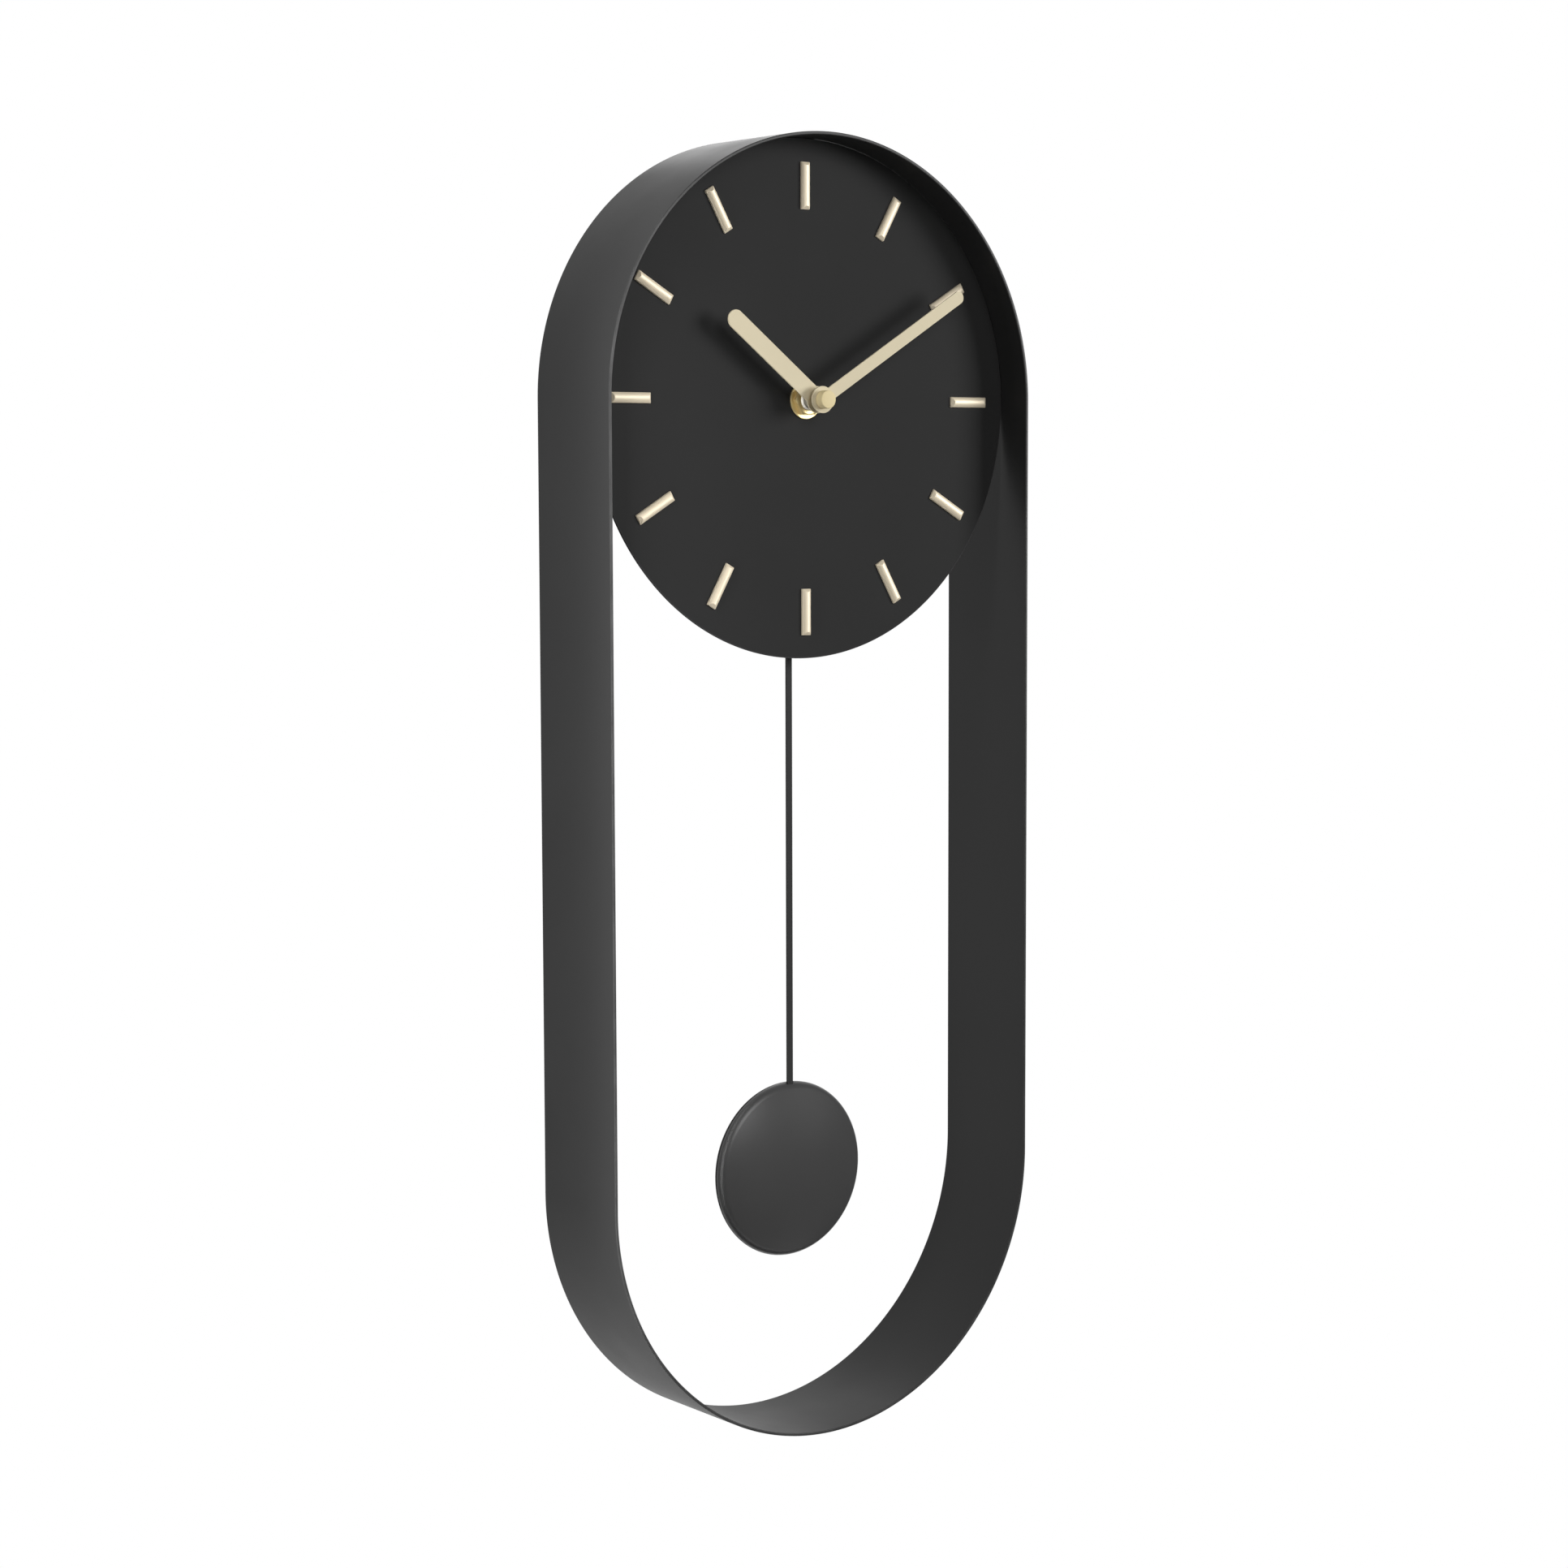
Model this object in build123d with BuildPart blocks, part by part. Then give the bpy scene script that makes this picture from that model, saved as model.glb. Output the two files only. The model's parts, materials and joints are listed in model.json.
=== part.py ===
from build123d import *
import math
import os

# Pendulum wall clock: a steel band bent to a stadium, a round dial in its upper arc, a battery
# movement behind the dial and a pendulum that hangs free in the lower half. Millimetres, +X to
# the viewer's right, +Y towards the wall, +Z up. The origin is the centre of the hanging hole
# on the wall plane.

# Frame band and dial
frame_width = 200.0
frame_height = 500.0
frame_depth = 48.0
band_wall = 1.2
weld_gap = 0.1
dial_recess = 15.0
dial_wall = 1.0
dial_tab_width = 12.0
dial_tab_depth = 8.0
dial_tab_angles = (20.0, 90.0, 160.0)

# Hanging tab with its keyhole
hang_drop = 24.0
hanger_wall = 1.5
hanger_width = 38.0
hanger_tail = 15.0
hanger_corner = 6.0
keyhole_radius = 4.5
keyslot_radius = 2.25
keyslot_rise = 10.0

# Hour markers
marker_length = 17.8
marker_width = 4.0
marker_height = 1.8
marker_side = 0.7
marker_end_slope = 1.2
marker_margin = 8.9

# Bush, nut and hands
bush_radius = 4.0
bush_flange_radius = 5.5
bush_flange_wall = 0.8
bush_reach = 4.0
washer_radius = 7.2
washer_wall = 0.8
nut_across_flats = 11.0
nut_wall = 2.0
nut_chamfer = 0.5
nut_land = 0.2
pipe_radius = 2.55
pipe_reach = 8.5
shaft_radius = 1.75
shaft_reach = 13.8
hand_wall = 0.6
hour_hand_stand = 7.6
hour_hand_length = 51.8
hour_hand_width = 7.2
hour_hand_angle = -52.5
minute_hand_stand = 10.7
minute_hand_length = 80.5
minute_hand_width = 4.9
minute_hand_angle = 59.0
hand_eye_radius = 5.1
collet_radius = 3.6
collet_length = 1.6
cap_radius = 3.45
cap_length = 3.6
cap_edge = 0.3

# Fits
press_gap = 0.02
running_gap = 0.05
seat_gap = 0.05
loose_gap = 0.3

# Movement case; depths run back from its front face
gasket_wall = 0.8
gasket_radius = 11.0
case_wall = 1.2
case_corner = 4.0
seam_depth = 9.2
seam_lip_height = 1.2
seam_lip_wall = 0.8
case_edge = 1.0
latch_width = 9.0
latch_wall = 0.8
latch_reach = 4.4
latch_root = 2.6
latch_rise = 30.0
catch_width = 5.4
catch_length = 1.4
catch_setback = 1.6
case_top_play = 2.7
case_side_play = 1.05
case_drop = 64.0

# Wheel work: teeth, modules and the depths of the layers
motion_module = 0.4
train_module_share = 0.875
cannon_teeth, motion_teeth = 15, 45
motion_pinion_teeth, hour_teeth = 12, 48
setting_teeth = 15
train_pinion_teeth = 8
centre_teeth, third_teeth, fourth_teeth, fifth_teeth = 64, 60, 48, 40
addendum = 0.9
dedendum = 1.2
wheel_tooth_share = 0.46
pinion_tooth_share = 0.42
pressure_angle = math.radians(20)
motion_face = 1.2
train_face = 0.8
centre_face = 1.0
pinion_overlap = 0.2
hour_depth = 1.5
cannon_depth = 3.0
cannon_flange = 0.3
clutch_wall = 0.5
clutch_radius = 3.2
centre_depth = 5.1
ring_wall = 0.28
ring_radius = 2.4
third_depth = 6.6
fourth_depth = 7.9
fifth_depth = 9.2
plate_depth = 12.9
plate_wall = 1.0
plate_margin = 2.2
arbor_radius = 0.9
pivot_radius = 0.5
pivot_length = 0.8
boss_radius = 1.3
boss_play = 0.6
shoulder_gap = 0.1
post_radius = 1.8
post_play = 1.5
peg_radius = 0.9
stud_radius = 1.2
rear_shaft_radius = 1.2
rear_pivot_radius = 0.8
setting_arbor_radius = 1.2
setting_boss_wall = 0.6
knob_radius = 4.5
knob_length = 4.0
knob_flutes = 16
knob_flute_radius = 0.5
knob_end_wall = 1.0

# Stepping motor
rotor_magnet_radius = 2.6
rotor_magnet_length = 2.0
rotor_magnet_depth = 10.4
stator_depth = 11.0
stator_wall = 0.8
stator_gap = 0.5
stator_back_rim = 0.9
stator_front_rim = 1.1
stator_post_radius = 1.0
stator_post_inset = 1.2
stator_arm = 3.5
stator_reach = 9.6
stator_half_height = 8.0
core_width = 2.4
core_wall = 0.8
bobbin_wall = 0.4
bobbin_flange = 0.6
winding_radius = 2.3
bobbin_radius = 2.5

# Cell and its bay
cell_radius = 7.1
cell_length = 50.5
cell_edge = 0.6
cell_nub_radius = 2.75
cell_nub_length = 1.0
cell_front_play = 0.5
cell_back_play = 0.3
cell_drop = 22.5
bay_play = 0.4
bay_wall = 1.0
contact_wall = 0.4
contact_room = 1.55
contact_width = 10.0

# Circuit board
board_width = 14.0
board_height = 24.0
board_wall = 1.0
board_depth = 3.2
board_left = 26.0
board_drop = 46.0
board_post_radius = 1.5
board_post_rise = 9.0
crystal_radius = 1.0
crystal_length = 6.0

# Pendulum drive, rod and bob
swing_drop = 36.0
swing_pin_radius = 1.0
swing_hub_radius = 2.8
swing_arm_width = 4.0
swing_wall = 3.0
swing_depth = 8.0
swing_slot_half = 6.5
swing_slot_play = 0.7
swing_magnet_drop = 54.0
swing_magnet_radius = 4.0
swing_magnet_length = 2.4
paddle_radius = 5.2
hook_drop = 70.0
hook_wall = 1.1
hook_clearance = 1.5
hook_end_radius = 2.4
hook_peg_radius = 1.4
hook_lip = 0.5
drive_core_radius = 2.0
drive_flange_radius = 6.5
drive_flange_wall = 0.6
drive_winding_radius = 5.8
drive_length = 5.2
rod_width = 2.5
rod_wall = 1.0
rod_eye_radius = 3.2
rod_eye_bore = 2.0
rod_tail = 4.0
bob_radius = 34.5
bob_wall = 1.0
bob_crown_tilt = 20.0
bob_shoulder_round = 4.0
bob_rim_tilt = 80.0
bob_back_round = 3.2
bob_seam_play = 0.8
bob_seat_width = 9.0
bob_seat_height = 6.0
bob_seat_rises = (2.0, 20.0)

# Sizes and places that follow from those above
BACK = (0, 1, 0)
FRONT = (0, -1, 0)
arc_radius = frame_width / 2
dial_z = hang_drop - arc_radius
bob_z = hang_drop - frame_height + arc_radius
front_y = -frame_depth
dial_front_y = front_y + dial_recess
dial_back_y = dial_front_y + dial_wall
dial_radius = arc_radius - band_wall - weld_gap
case_front_y = dial_back_y + gasket_wall
train_module = train_module_share * motion_module


def facing(y, x=0.0, z=0.0):
    """Plane that faces the front, with its own x along X and its own y along Z."""
    return Plane(origin=(x, y, z), x_dir=(1, 0, 0), z_dir=FRONT)


def arbor(point, depth):
    """Front-facing plane on an arbor, a depth behind the front of the case."""
    return facing(case_front_y + depth, point[0], dial_z + point[1])


def clockwise(angle, y):
    """Front-facing plane on the hand axis whose own y points along a hand or marker."""
    turn = math.radians(angle)
    return Plane(origin=(0, y, dial_z), x_dir=(math.cos(turn), 0, -math.sin(turn)), z_dir=FRONT)


def turning(x, z):
    """Level plane, as for a turned profile: own x is the radius, own y runs towards the wall."""
    return Plane(origin=(x, 0, z), x_dir=(1, 0, 0), z_dir=(0, 0, 1))


def away(start, distance, angle):
    """Point at a distance and an angle from another, as seen from the front."""
    turn = math.radians(angle)
    return (start[0] + distance * math.cos(turn), start[1] + distance * math.sin(turn))


def centre_distance(teeth_a, teeth_b, module):
    return module * (teeth_a + teeth_b) / 2


def tip_radius(teeth, module):
    return module * (teeth / 2 + addendum)


def tooth_half_angle(radius, pitch_radius, thickness):
    """Half the angle that an involute tooth takes up at a radius."""
    base = pitch_radius * math.cos(pressure_angle)
    lean = math.acos(min(1.0, base / radius))
    rise = math.tan(pressure_angle) - pressure_angle
    return thickness / (2 * pitch_radius) + rise - (math.tan(lean) - lean)


def gear_outline(teeth, module, phase, tooth_share, flank_radii):
    """Outline of a gear with a tooth centred on the phase angle, in radians."""
    pitch_radius = module * teeth / 2
    thickness = tooth_share * math.pi * module
    points = []
    for tooth in range(teeth):
        middle = phase + 2 * math.pi * tooth / teeth
        flank = [(r, tooth_half_angle(r, pitch_radius, thickness)) for r in flank_radii]
        both = [(r, -half) for r, half in flank] + [(r, half) for r, half in reversed(flank)]
        points += [(r * math.cos(middle + turn), r * math.sin(middle + turn)) for r, turn in both]
    return points


def wheel_outline(teeth, module, phase):
    radii = (module * (teeth / 2 - dedendum), tip_radius(teeth, module))
    return gear_outline(teeth, module, phase, wheel_tooth_share, radii)


def pinion_outline(teeth, module, phase):
    pitch_radius = module * teeth / 2
    radii = (pitch_radius - dedendum * module, pitch_radius, tip_radius(teeth, module))
    return gear_outline(teeth, module, phase, pinion_tooth_share, radii)


def mesh_phase(phase, teeth, other_teeth, start, end):
    """Phase of the gear at end that meshes with the gear at start."""
    heading = math.atan2(end[1] - start[1], end[0] - start[0])
    half_pitch = math.pi / other_teeth
    return heading + math.pi - half_pitch + (heading - phase) * teeth / other_teeth


# Arbor places, from the hand axis
motion_distance = centre_distance(cannon_teeth, motion_teeth, motion_module)
centre_point = (0.0, 0.0)
motion_point = away(centre_point, motion_distance, 0)
setting_point = away(motion_point, motion_distance, -30)
third_point = away(centre_point, centre_distance(centre_teeth, train_pinion_teeth, train_module), 150)
fourth_point = away(third_point, centre_distance(third_teeth, train_pinion_teeth, train_module), 50)
fifth_point = away(fourth_point, centre_distance(fourth_teeth, train_pinion_teeth, train_module), 0)
rotor_point = away(fifth_point, centre_distance(fifth_teeth, train_pinion_teeth, train_module), -20)
swing_point = (0.0, -swing_drop)
drive_point = (0.0, -swing_magnet_drop)
cell_point = (0.0, -cell_drop)

# The case clears the outermost wheels, the motor and the cell
setting_reach = setting_point[0] + tip_radius(setting_teeth, motion_module)
third_reach = tip_radius(third_teeth, train_module) - third_point[0]
stator_right = rotor_point[0] + stator_reach
coil_reach = stator_right - core_width / 2 + bobbin_radius
wheel_reach = max(setting_reach, third_reach, coil_reach) + case_side_play
cell_reach = cell_length / 2 + contact_room
case_half_width = max(wheel_reach, cell_reach) + case_wall
case_top = fourth_point[1] + tip_radius(fourth_teeth, train_module) + case_top_play + case_wall
case_width = 2 * case_half_width
case_height = case_top + case_drop
case_middle = (0.0, (case_top - case_drop) / 2)
latch_outer = case_half_width + seat_gap + latch_wall
latches = tuple((side, case_middle[1] + rise) for side in (1, -1) for rise in (latch_rise, -latch_rise))
cell_depth = case_wall + cell_front_play + cell_radius
case_depth = cell_depth + cell_radius + cell_back_play
bay_half_height = cell_radius + bay_play
bay_half_width = case_half_width - case_wall
case_back_depth = case_depth - case_wall
third_post_distance = tip_radius(third_teeth, train_module) + post_radius + post_play
fifth_post_distance = tip_radius(fifth_teeth, train_module) + post_radius + post_play
plate_posts = (
    away(third_point, third_post_distance, 115),
    away(fifth_point, fifth_post_distance, 48),
    away(third_point, third_post_distance, -101),
)
boss_tops = (
    (third_point, centre_depth - boss_play),
    (fourth_point, third_depth - boss_play),
    (fifth_point, fourth_depth - boss_play),
    (rotor_point, fifth_depth - boss_play),
)
setting_boss_top = cannon_depth - boss_play
core_point = (stator_right - core_width / 2, rotor_point[1])
stator_post_rise = stator_half_height - stator_post_inset
stator_posts = tuple((core_point[0], core_point[1] + side * stator_post_rise) for side in (1, -1))
core_depth = stator_depth + stator_wall
winding_depth = core_depth + core_wall / 2
coil_half_length = stator_half_height - stator_arm - loose_gap
board_point = (board_width / 2 - board_left, -board_drop)
board_posts = tuple((board_point[0], board_point[1] + side * board_post_rise) for side in (1, -1))
rod_y = case_front_y + swing_depth + swing_wall - hook_wall - loose_gap - rod_wall / 2
rod_back_y = rod_y + rod_wall / 2
hook_z = dial_z - hook_drop
eye_z = hook_z - (rod_eye_bore - hook_peg_radius - seat_gap)
bob_seam_y = rod_back_y + bob_seam_play
bob_back_y = bob_seam_y + bob_back_round

os.makedirs("parts", exist_ok=True)

# Frame band: one strip, bent to a stadium and welded shut
with BuildPart() as frame_band:
    with BuildSketch(facing(0, z=(dial_z + bob_z) / 2)):
        SlotOverall(frame_height, frame_width, rotation=90)
        offset(amount=-band_wall, mode=Mode.SUBTRACT)
    extrude(amount=frame_depth, dir=FRONT)
frame_band.part.label = "frame_band"
export_step(frame_band.part, "parts/frame_band.step")

# Dial plate: round sheet with three tabs folded back along the band, where it is welded
with BuildPart() as dial_plate:
    with BuildSketch(facing(dial_back_y, z=dial_z)):
        Circle(dial_radius)
        Circle(bush_radius + running_gap, mode=Mode.SUBTRACT)
    extrude(amount=dial_wall, dir=FRONT)
    tab_seat = math.sqrt(dial_radius**2 - (dial_tab_width / 2) ** 2) - dial_wall / 2
    with BuildSketch(facing(dial_back_y, z=dial_z)):
        for angle in dial_tab_angles:
            with PolarLocations(tab_seat, 1, start_angle=angle):
                Rectangle(dial_wall, dial_tab_width)
    extrude(amount=dial_tab_depth, dir=BACK)
dial_plate.part.label = "dial_plate"
export_step(dial_plate.part, "parts/dial_plate.step")

# Hanger tab: plate welded into the top of the band, with the keyhole that takes the wall screw
with BuildPart() as hanger_tab:
    with BuildSketch(facing(0)) as hanger_outline:
        with Locations((0, -hanger_tail)):
            Rectangle(hanger_width, hang_drop + hanger_tail, align=(Align.CENTER, Align.MIN))
        fillet(hanger_outline.vertices().group_by(Axis.Y)[0], hanger_corner)
        with Locations((0, dial_z)):
            Circle(dial_radius, mode=Mode.INTERSECT)
        Circle(keyhole_radius, mode=Mode.SUBTRACT)
        with Locations((0, keyslot_rise / 2)):
            SlotCenterToCenter(keyslot_rise, 2 * keyslot_radius, rotation=90, mode=Mode.SUBTRACT)
    extrude(amount=hanger_wall, dir=FRONT)
hanger_tab.part.label = "hanger_tab"
export_step(hanger_tab.part, "parts/hanger_tab.step")

# Hour markers: half-round bars with sloped ends, seated on the dial at every hour
marker_outer = dial_radius - marker_margin
for hour in range(1, 13):
    turn = math.radians(30 * hour)
    outward = (math.sin(turn), 0, math.cos(turn))
    across = (-math.cos(turn), 0, math.sin(turn))
    start = Vector(0, dial_front_y, dial_z) + Vector(outward) * (marker_outer - marker_length)
    with BuildPart() as hour_marker:
        with BuildSketch(Plane(origin=start, x_dir=across, z_dir=outward)):
            with BuildLine():
                base = Polyline(
                    (-marker_width / 2, marker_side),
                    (-marker_width / 2, 0),
                    (marker_width / 2, 0),
                    (marker_width / 2, marker_side),
                )
                ThreePointArc(base @ 1, (0, marker_height), base @ 0)
            make_face()
        extrude(amount=marker_length)
        with BuildSketch(Plane(origin=start, x_dir=outward, z_dir=across)):
            with BuildLine():
                Polyline(
                    (0, 0),
                    (marker_length, 0),
                    (marker_length, -marker_side),
                    (marker_length - marker_end_slope, -marker_height),
                    (marker_end_slope, -marker_height),
                    (0, -marker_side),
                    close=True,
                )
            make_face()
        extrude(amount=marker_width, both=True, mode=Mode.INTERSECT)
    hour_marker.part.label = f"hour_marker_{hour:02d}"
    export_step(hour_marker.part, f"parts/hour_marker_{hour:02d}.step")

# Washer and hexagonal nut that clamp the movement to the dial
with BuildPart() as dial_washer:
    with BuildSketch(facing(dial_front_y, z=dial_z)):
        Circle(washer_radius)
        Circle(bush_radius + press_gap, mode=Mode.SUBTRACT)
    extrude(amount=washer_wall, dir=FRONT)
dial_washer.part.label = "dial_washer"
export_step(dial_washer.part, "parts/dial_washer.step")

nut_back_y = dial_front_y - washer_wall
nut_corner = nut_across_flats / math.sqrt(3)
with BuildPart() as bush_nut:
    with BuildSketch(facing(nut_back_y, z=dial_z)):
        RegularPolygon(nut_corner, 6)
        Circle(bush_radius + press_gap, mode=Mode.SUBTRACT)
    extrude(amount=nut_wall, dir=FRONT)
    # Turned chamfer on the six corners of the front face
    with BuildSketch(turning(0, dial_z)):
        with BuildLine():
            Polyline(
                (0, nut_back_y),
                (nut_corner, nut_back_y),
                (nut_corner, nut_back_y - nut_wall + nut_chamfer),
                (nut_across_flats / 2 - nut_land, nut_back_y - nut_wall),
                (0, nut_back_y - nut_wall),
                close=True,
            )
        make_face()
    revolve(axis=Axis((0, 0, dial_z), BACK), mode=Mode.INTERSECT)
bush_nut.part.label = "bush_nut"
export_step(bush_nut.part, "parts/bush_nut.step")

# Rubber gasket between the dial and the movement
with BuildPart() as dial_gasket:
    with BuildSketch(facing(dial_back_y, z=dial_z)):
        Circle(gasket_radius)
        Circle(bush_radius + running_gap, mode=Mode.SUBTRACT)
    extrude(amount=gasket_wall, dir=BACK)
dial_gasket.part.label = "dial_gasket"
export_step(dial_gasket.part, "parts/dial_gasket.step")

# Threaded bush: flanged tube through the case front and the dial
flange_depth = case_wall - bush_flange_wall
bush_front_y = dial_front_y - bush_reach
with BuildPart() as threaded_bush:
    with BuildSketch(arbor(centre_point, case_wall)):
        Circle(bush_flange_radius)
    extrude(amount=bush_flange_wall, dir=FRONT)
    with BuildSketch(facing(bush_front_y, z=dial_z)):
        Circle(bush_radius)
    extrude(amount=case_front_y + flange_depth - bush_front_y, dir=BACK)
    with BuildSketch(facing(bush_front_y, z=dial_z)):
        Circle(pipe_radius + running_gap)
    extrude(amount=frame_depth, dir=BACK, mode=Mode.SUBTRACT)
threaded_bush.part.label = "threaded_bush"
export_step(threaded_bush.part, "parts/threaded_bush.step")

# Case front: tray with the bosses, posts and stud that carry the wheel work
with BuildPart() as case_front:
    with BuildSketch(arbor(case_middle, 0)):
        RectangleRounded(case_width, case_height, case_corner)
    extrude(amount=seam_depth, dir=BACK)
    chamfer(case_front.edges().group_by(Axis.Y)[0], case_edge)
    with BuildSketch(arbor(case_middle, case_wall)):
        RectangleRounded(case_width - 2 * case_wall, case_height - 2 * case_wall, case_corner - case_wall)
    extrude(amount=seam_depth, dir=BACK, mode=Mode.SUBTRACT)
    # Wheel bosses with their blind pivot holes
    for point, top in boss_tops:
        with BuildSketch(arbor(point, case_wall)):
            Circle(boss_radius)
        extrude(amount=top - case_wall, dir=BACK)
        with BuildSketch(arbor(point, top)):
            Circle(pivot_radius + running_gap)
        extrude(amount=pivot_length + running_gap, dir=FRONT, mode=Mode.SUBTRACT)
    with BuildSketch(arbor(setting_point, case_wall)):
        Circle(setting_arbor_radius + setting_boss_wall)
    extrude(amount=setting_boss_top - case_wall, dir=BACK)
    with BuildSketch(arbor(setting_point, setting_boss_top)):
        Circle(rear_pivot_radius + running_gap)
    extrude(amount=pivot_length + running_gap, dir=FRONT, mode=Mode.SUBTRACT)
    # Stud of the motion wheel
    with BuildSketch(arbor(motion_point, case_wall)):
        Circle(stud_radius)
    extrude(amount=centre_depth - loose_gap - case_wall, dir=BACK)
    # Posts of the train plate, with the pegs that are riveted over
    with BuildSketch(arbor(centre_point, case_wall)):
        with Locations(*plate_posts):
            Circle(post_radius)
    extrude(amount=plate_depth - case_wall, dir=BACK)
    with BuildSketch(arbor(centre_point, plate_depth)):
        with Locations(*plate_posts):
            Circle(peg_radius)
    extrude(amount=plate_wall, dir=BACK)
    # Posts of the stator and of the circuit board
    with BuildSketch(arbor(centre_point, case_wall)):
        with Locations(*stator_posts):
            Circle(stator_post_radius)
    extrude(amount=stator_depth - case_wall, dir=BACK)
    with BuildSketch(arbor(centre_point, case_wall)):
        with Locations(*board_posts):
            Circle(board_post_radius)
    extrude(amount=board_depth - case_wall, dir=BACK)
    # Boss of the pendulum pin
    with BuildSketch(arbor(swing_point, case_wall)):
        Circle(swing_hub_radius)
    extrude(amount=swing_depth - loose_gap - case_wall, dir=BACK)
    with BuildSketch(arbor(swing_point, case_wall)):
        Circle(swing_pin_radius + press_gap)
    extrude(amount=swing_depth, dir=BACK, mode=Mode.SUBTRACT)
    # Seat of the bush flange and hole for the bush
    with BuildSketch(arbor(centre_point, flange_depth)):
        Circle(bush_flange_radius + press_gap)
    extrude(amount=case_wall, dir=BACK, mode=Mode.SUBTRACT)
    with BuildSketch(arbor(centre_point, 0)):
        Circle(bush_radius + press_gap)
    extrude(amount=case_wall, dir=BACK, mode=Mode.SUBTRACT)
    # Catches on the side walls for the latches of the back half
    with BuildSketch(arbor(centre_point, seam_depth - catch_setback)):
        for side, rise in latches:
            with Locations((side * (case_half_width + latch_outer - case_wall) / 2, rise)):
                Rectangle(latch_outer - case_half_width + case_wall, catch_width)
    extrude(amount=catch_length, dir=FRONT)
    # Slot in the bottom wall, where the swing lever comes out
    with BuildSketch(arbor((0, case_wall / 2 - case_drop), swing_depth - swing_slot_play)):
        Rectangle(2 * swing_slot_half, 2 * case_wall)
    extrude(amount=seam_depth, dir=BACK, mode=Mode.SUBTRACT)
case_front.part.label = "case_front"
export_step(case_front.part, "parts/case_front.step")

# Case back: cover with a lip inside the front half, the cell bay and the setting hole
lip_width = case_width - 2 * case_wall - 2 * seat_gap
lip_height = case_height - 2 * case_wall - 2 * seat_gap
lip_corner = case_corner - case_wall - seat_gap
bay_front_depth = case_wall + seat_gap
with BuildPart() as case_back:
    with BuildSketch(arbor(case_middle, seam_depth)):
        RectangleRounded(case_width, case_height, case_corner)
    extrude(amount=case_depth - seam_depth, dir=BACK)
    chamfer(case_back.edges().group_by(Axis.Y)[-1], case_edge)
    with BuildSketch(arbor(case_middle, seam_depth - seam_lip_height)):
        RectangleRounded(lip_width, lip_height, lip_corner)
    extrude(amount=seam_lip_height, dir=BACK)
    with BuildSketch(arbor(case_middle, seam_depth - seam_lip_height)):
        RectangleRounded(
            lip_width - 2 * seam_lip_wall, lip_height - 2 * seam_lip_wall, lip_corner - seam_lip_wall
        )
    extrude(amount=case_back_depth - seam_depth + seam_lip_height, dir=BACK, mode=Mode.SUBTRACT)
    # Walls of the cell bay, and its window in the back
    with BuildSketch(arbor(cell_point, bay_front_depth)):
        for side in (1, -1):
            with Locations((0, side * (bay_half_height + bay_wall / 2))):
                Rectangle(lip_width - seam_lip_wall, bay_wall)
    extrude(amount=case_back_depth - bay_front_depth, dir=BACK)
    with BuildSketch(arbor(cell_point, case_back_depth)):
        Rectangle(2 * bay_half_width - 2 * seam_lip_wall, 2 * bay_half_height)
    extrude(amount=case_wall, dir=BACK, mode=Mode.SUBTRACT)
    # Contacts stand in the ends of the bay, so the lip stops short of it
    with BuildSketch(arbor(cell_point, seam_depth - seam_lip_height)):
        Rectangle(2 * bay_half_width, 2 * bay_half_height)
    extrude(amount=case_back_depth - seam_depth + seam_lip_height, dir=BACK, mode=Mode.SUBTRACT)
    # Setting hole and the rear boss of the pendulum pin
    with BuildSketch(arbor(setting_point, case_back_depth)):
        Circle(setting_arbor_radius + running_gap)
    extrude(amount=case_wall, dir=BACK, mode=Mode.SUBTRACT)
    with BuildSketch(arbor(swing_point, swing_depth + swing_wall + loose_gap)):
        Circle(swing_hub_radius)
    extrude(amount=case_back_depth - swing_depth - swing_wall - loose_gap, dir=BACK)
    with BuildSketch(arbor(swing_point, swing_depth + swing_wall)):
        Circle(swing_pin_radius + press_gap)
    extrude(amount=case_back_depth - swing_depth - swing_wall, dir=BACK, mode=Mode.SUBTRACT)
    # Slot of the swing lever
    with BuildSketch(arbor((0, case_wall - case_drop), seam_depth - seam_lip_height)):
        Rectangle(2 * swing_slot_half, 3 * case_wall)
    extrude(
        amount=swing_depth + swing_wall + swing_slot_play - seam_depth + seam_lip_height,
        dir=BACK,
        mode=Mode.SUBTRACT,
    )
    # Latches: tongues outside the front half, each with a window for its catch
    with BuildSketch(arbor(centre_point, seam_depth - latch_reach)):
        for side, rise in latches:
            with Locations((side * (latch_outer - latch_wall / 2), rise)):
                Rectangle(latch_wall, latch_width)
    extrude(amount=latch_reach + latch_root, dir=BACK)
    with BuildSketch(arbor(centre_point, seam_depth)):
        for side, rise in latches:
            with Locations((side * (case_half_width + latch_outer - case_wall) / 2, rise)):
                Rectangle(latch_outer - case_half_width + case_wall, latch_width)
    extrude(amount=latch_root, dir=BACK)
    with BuildSketch(arbor(centre_point, seam_depth - catch_setback + loose_gap)):
        for side, rise in latches:
            with Locations((side * (latch_outer - latch_wall / 2), rise)):
                Rectangle(2 * latch_wall, catch_width + 2 * loose_gap)
    extrude(amount=catch_length + loose_gap + seat_gap, dir=FRONT, mode=Mode.SUBTRACT)
case_back.part.label = "case_back"
export_step(case_back.part, "parts/case_back.step")

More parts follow.
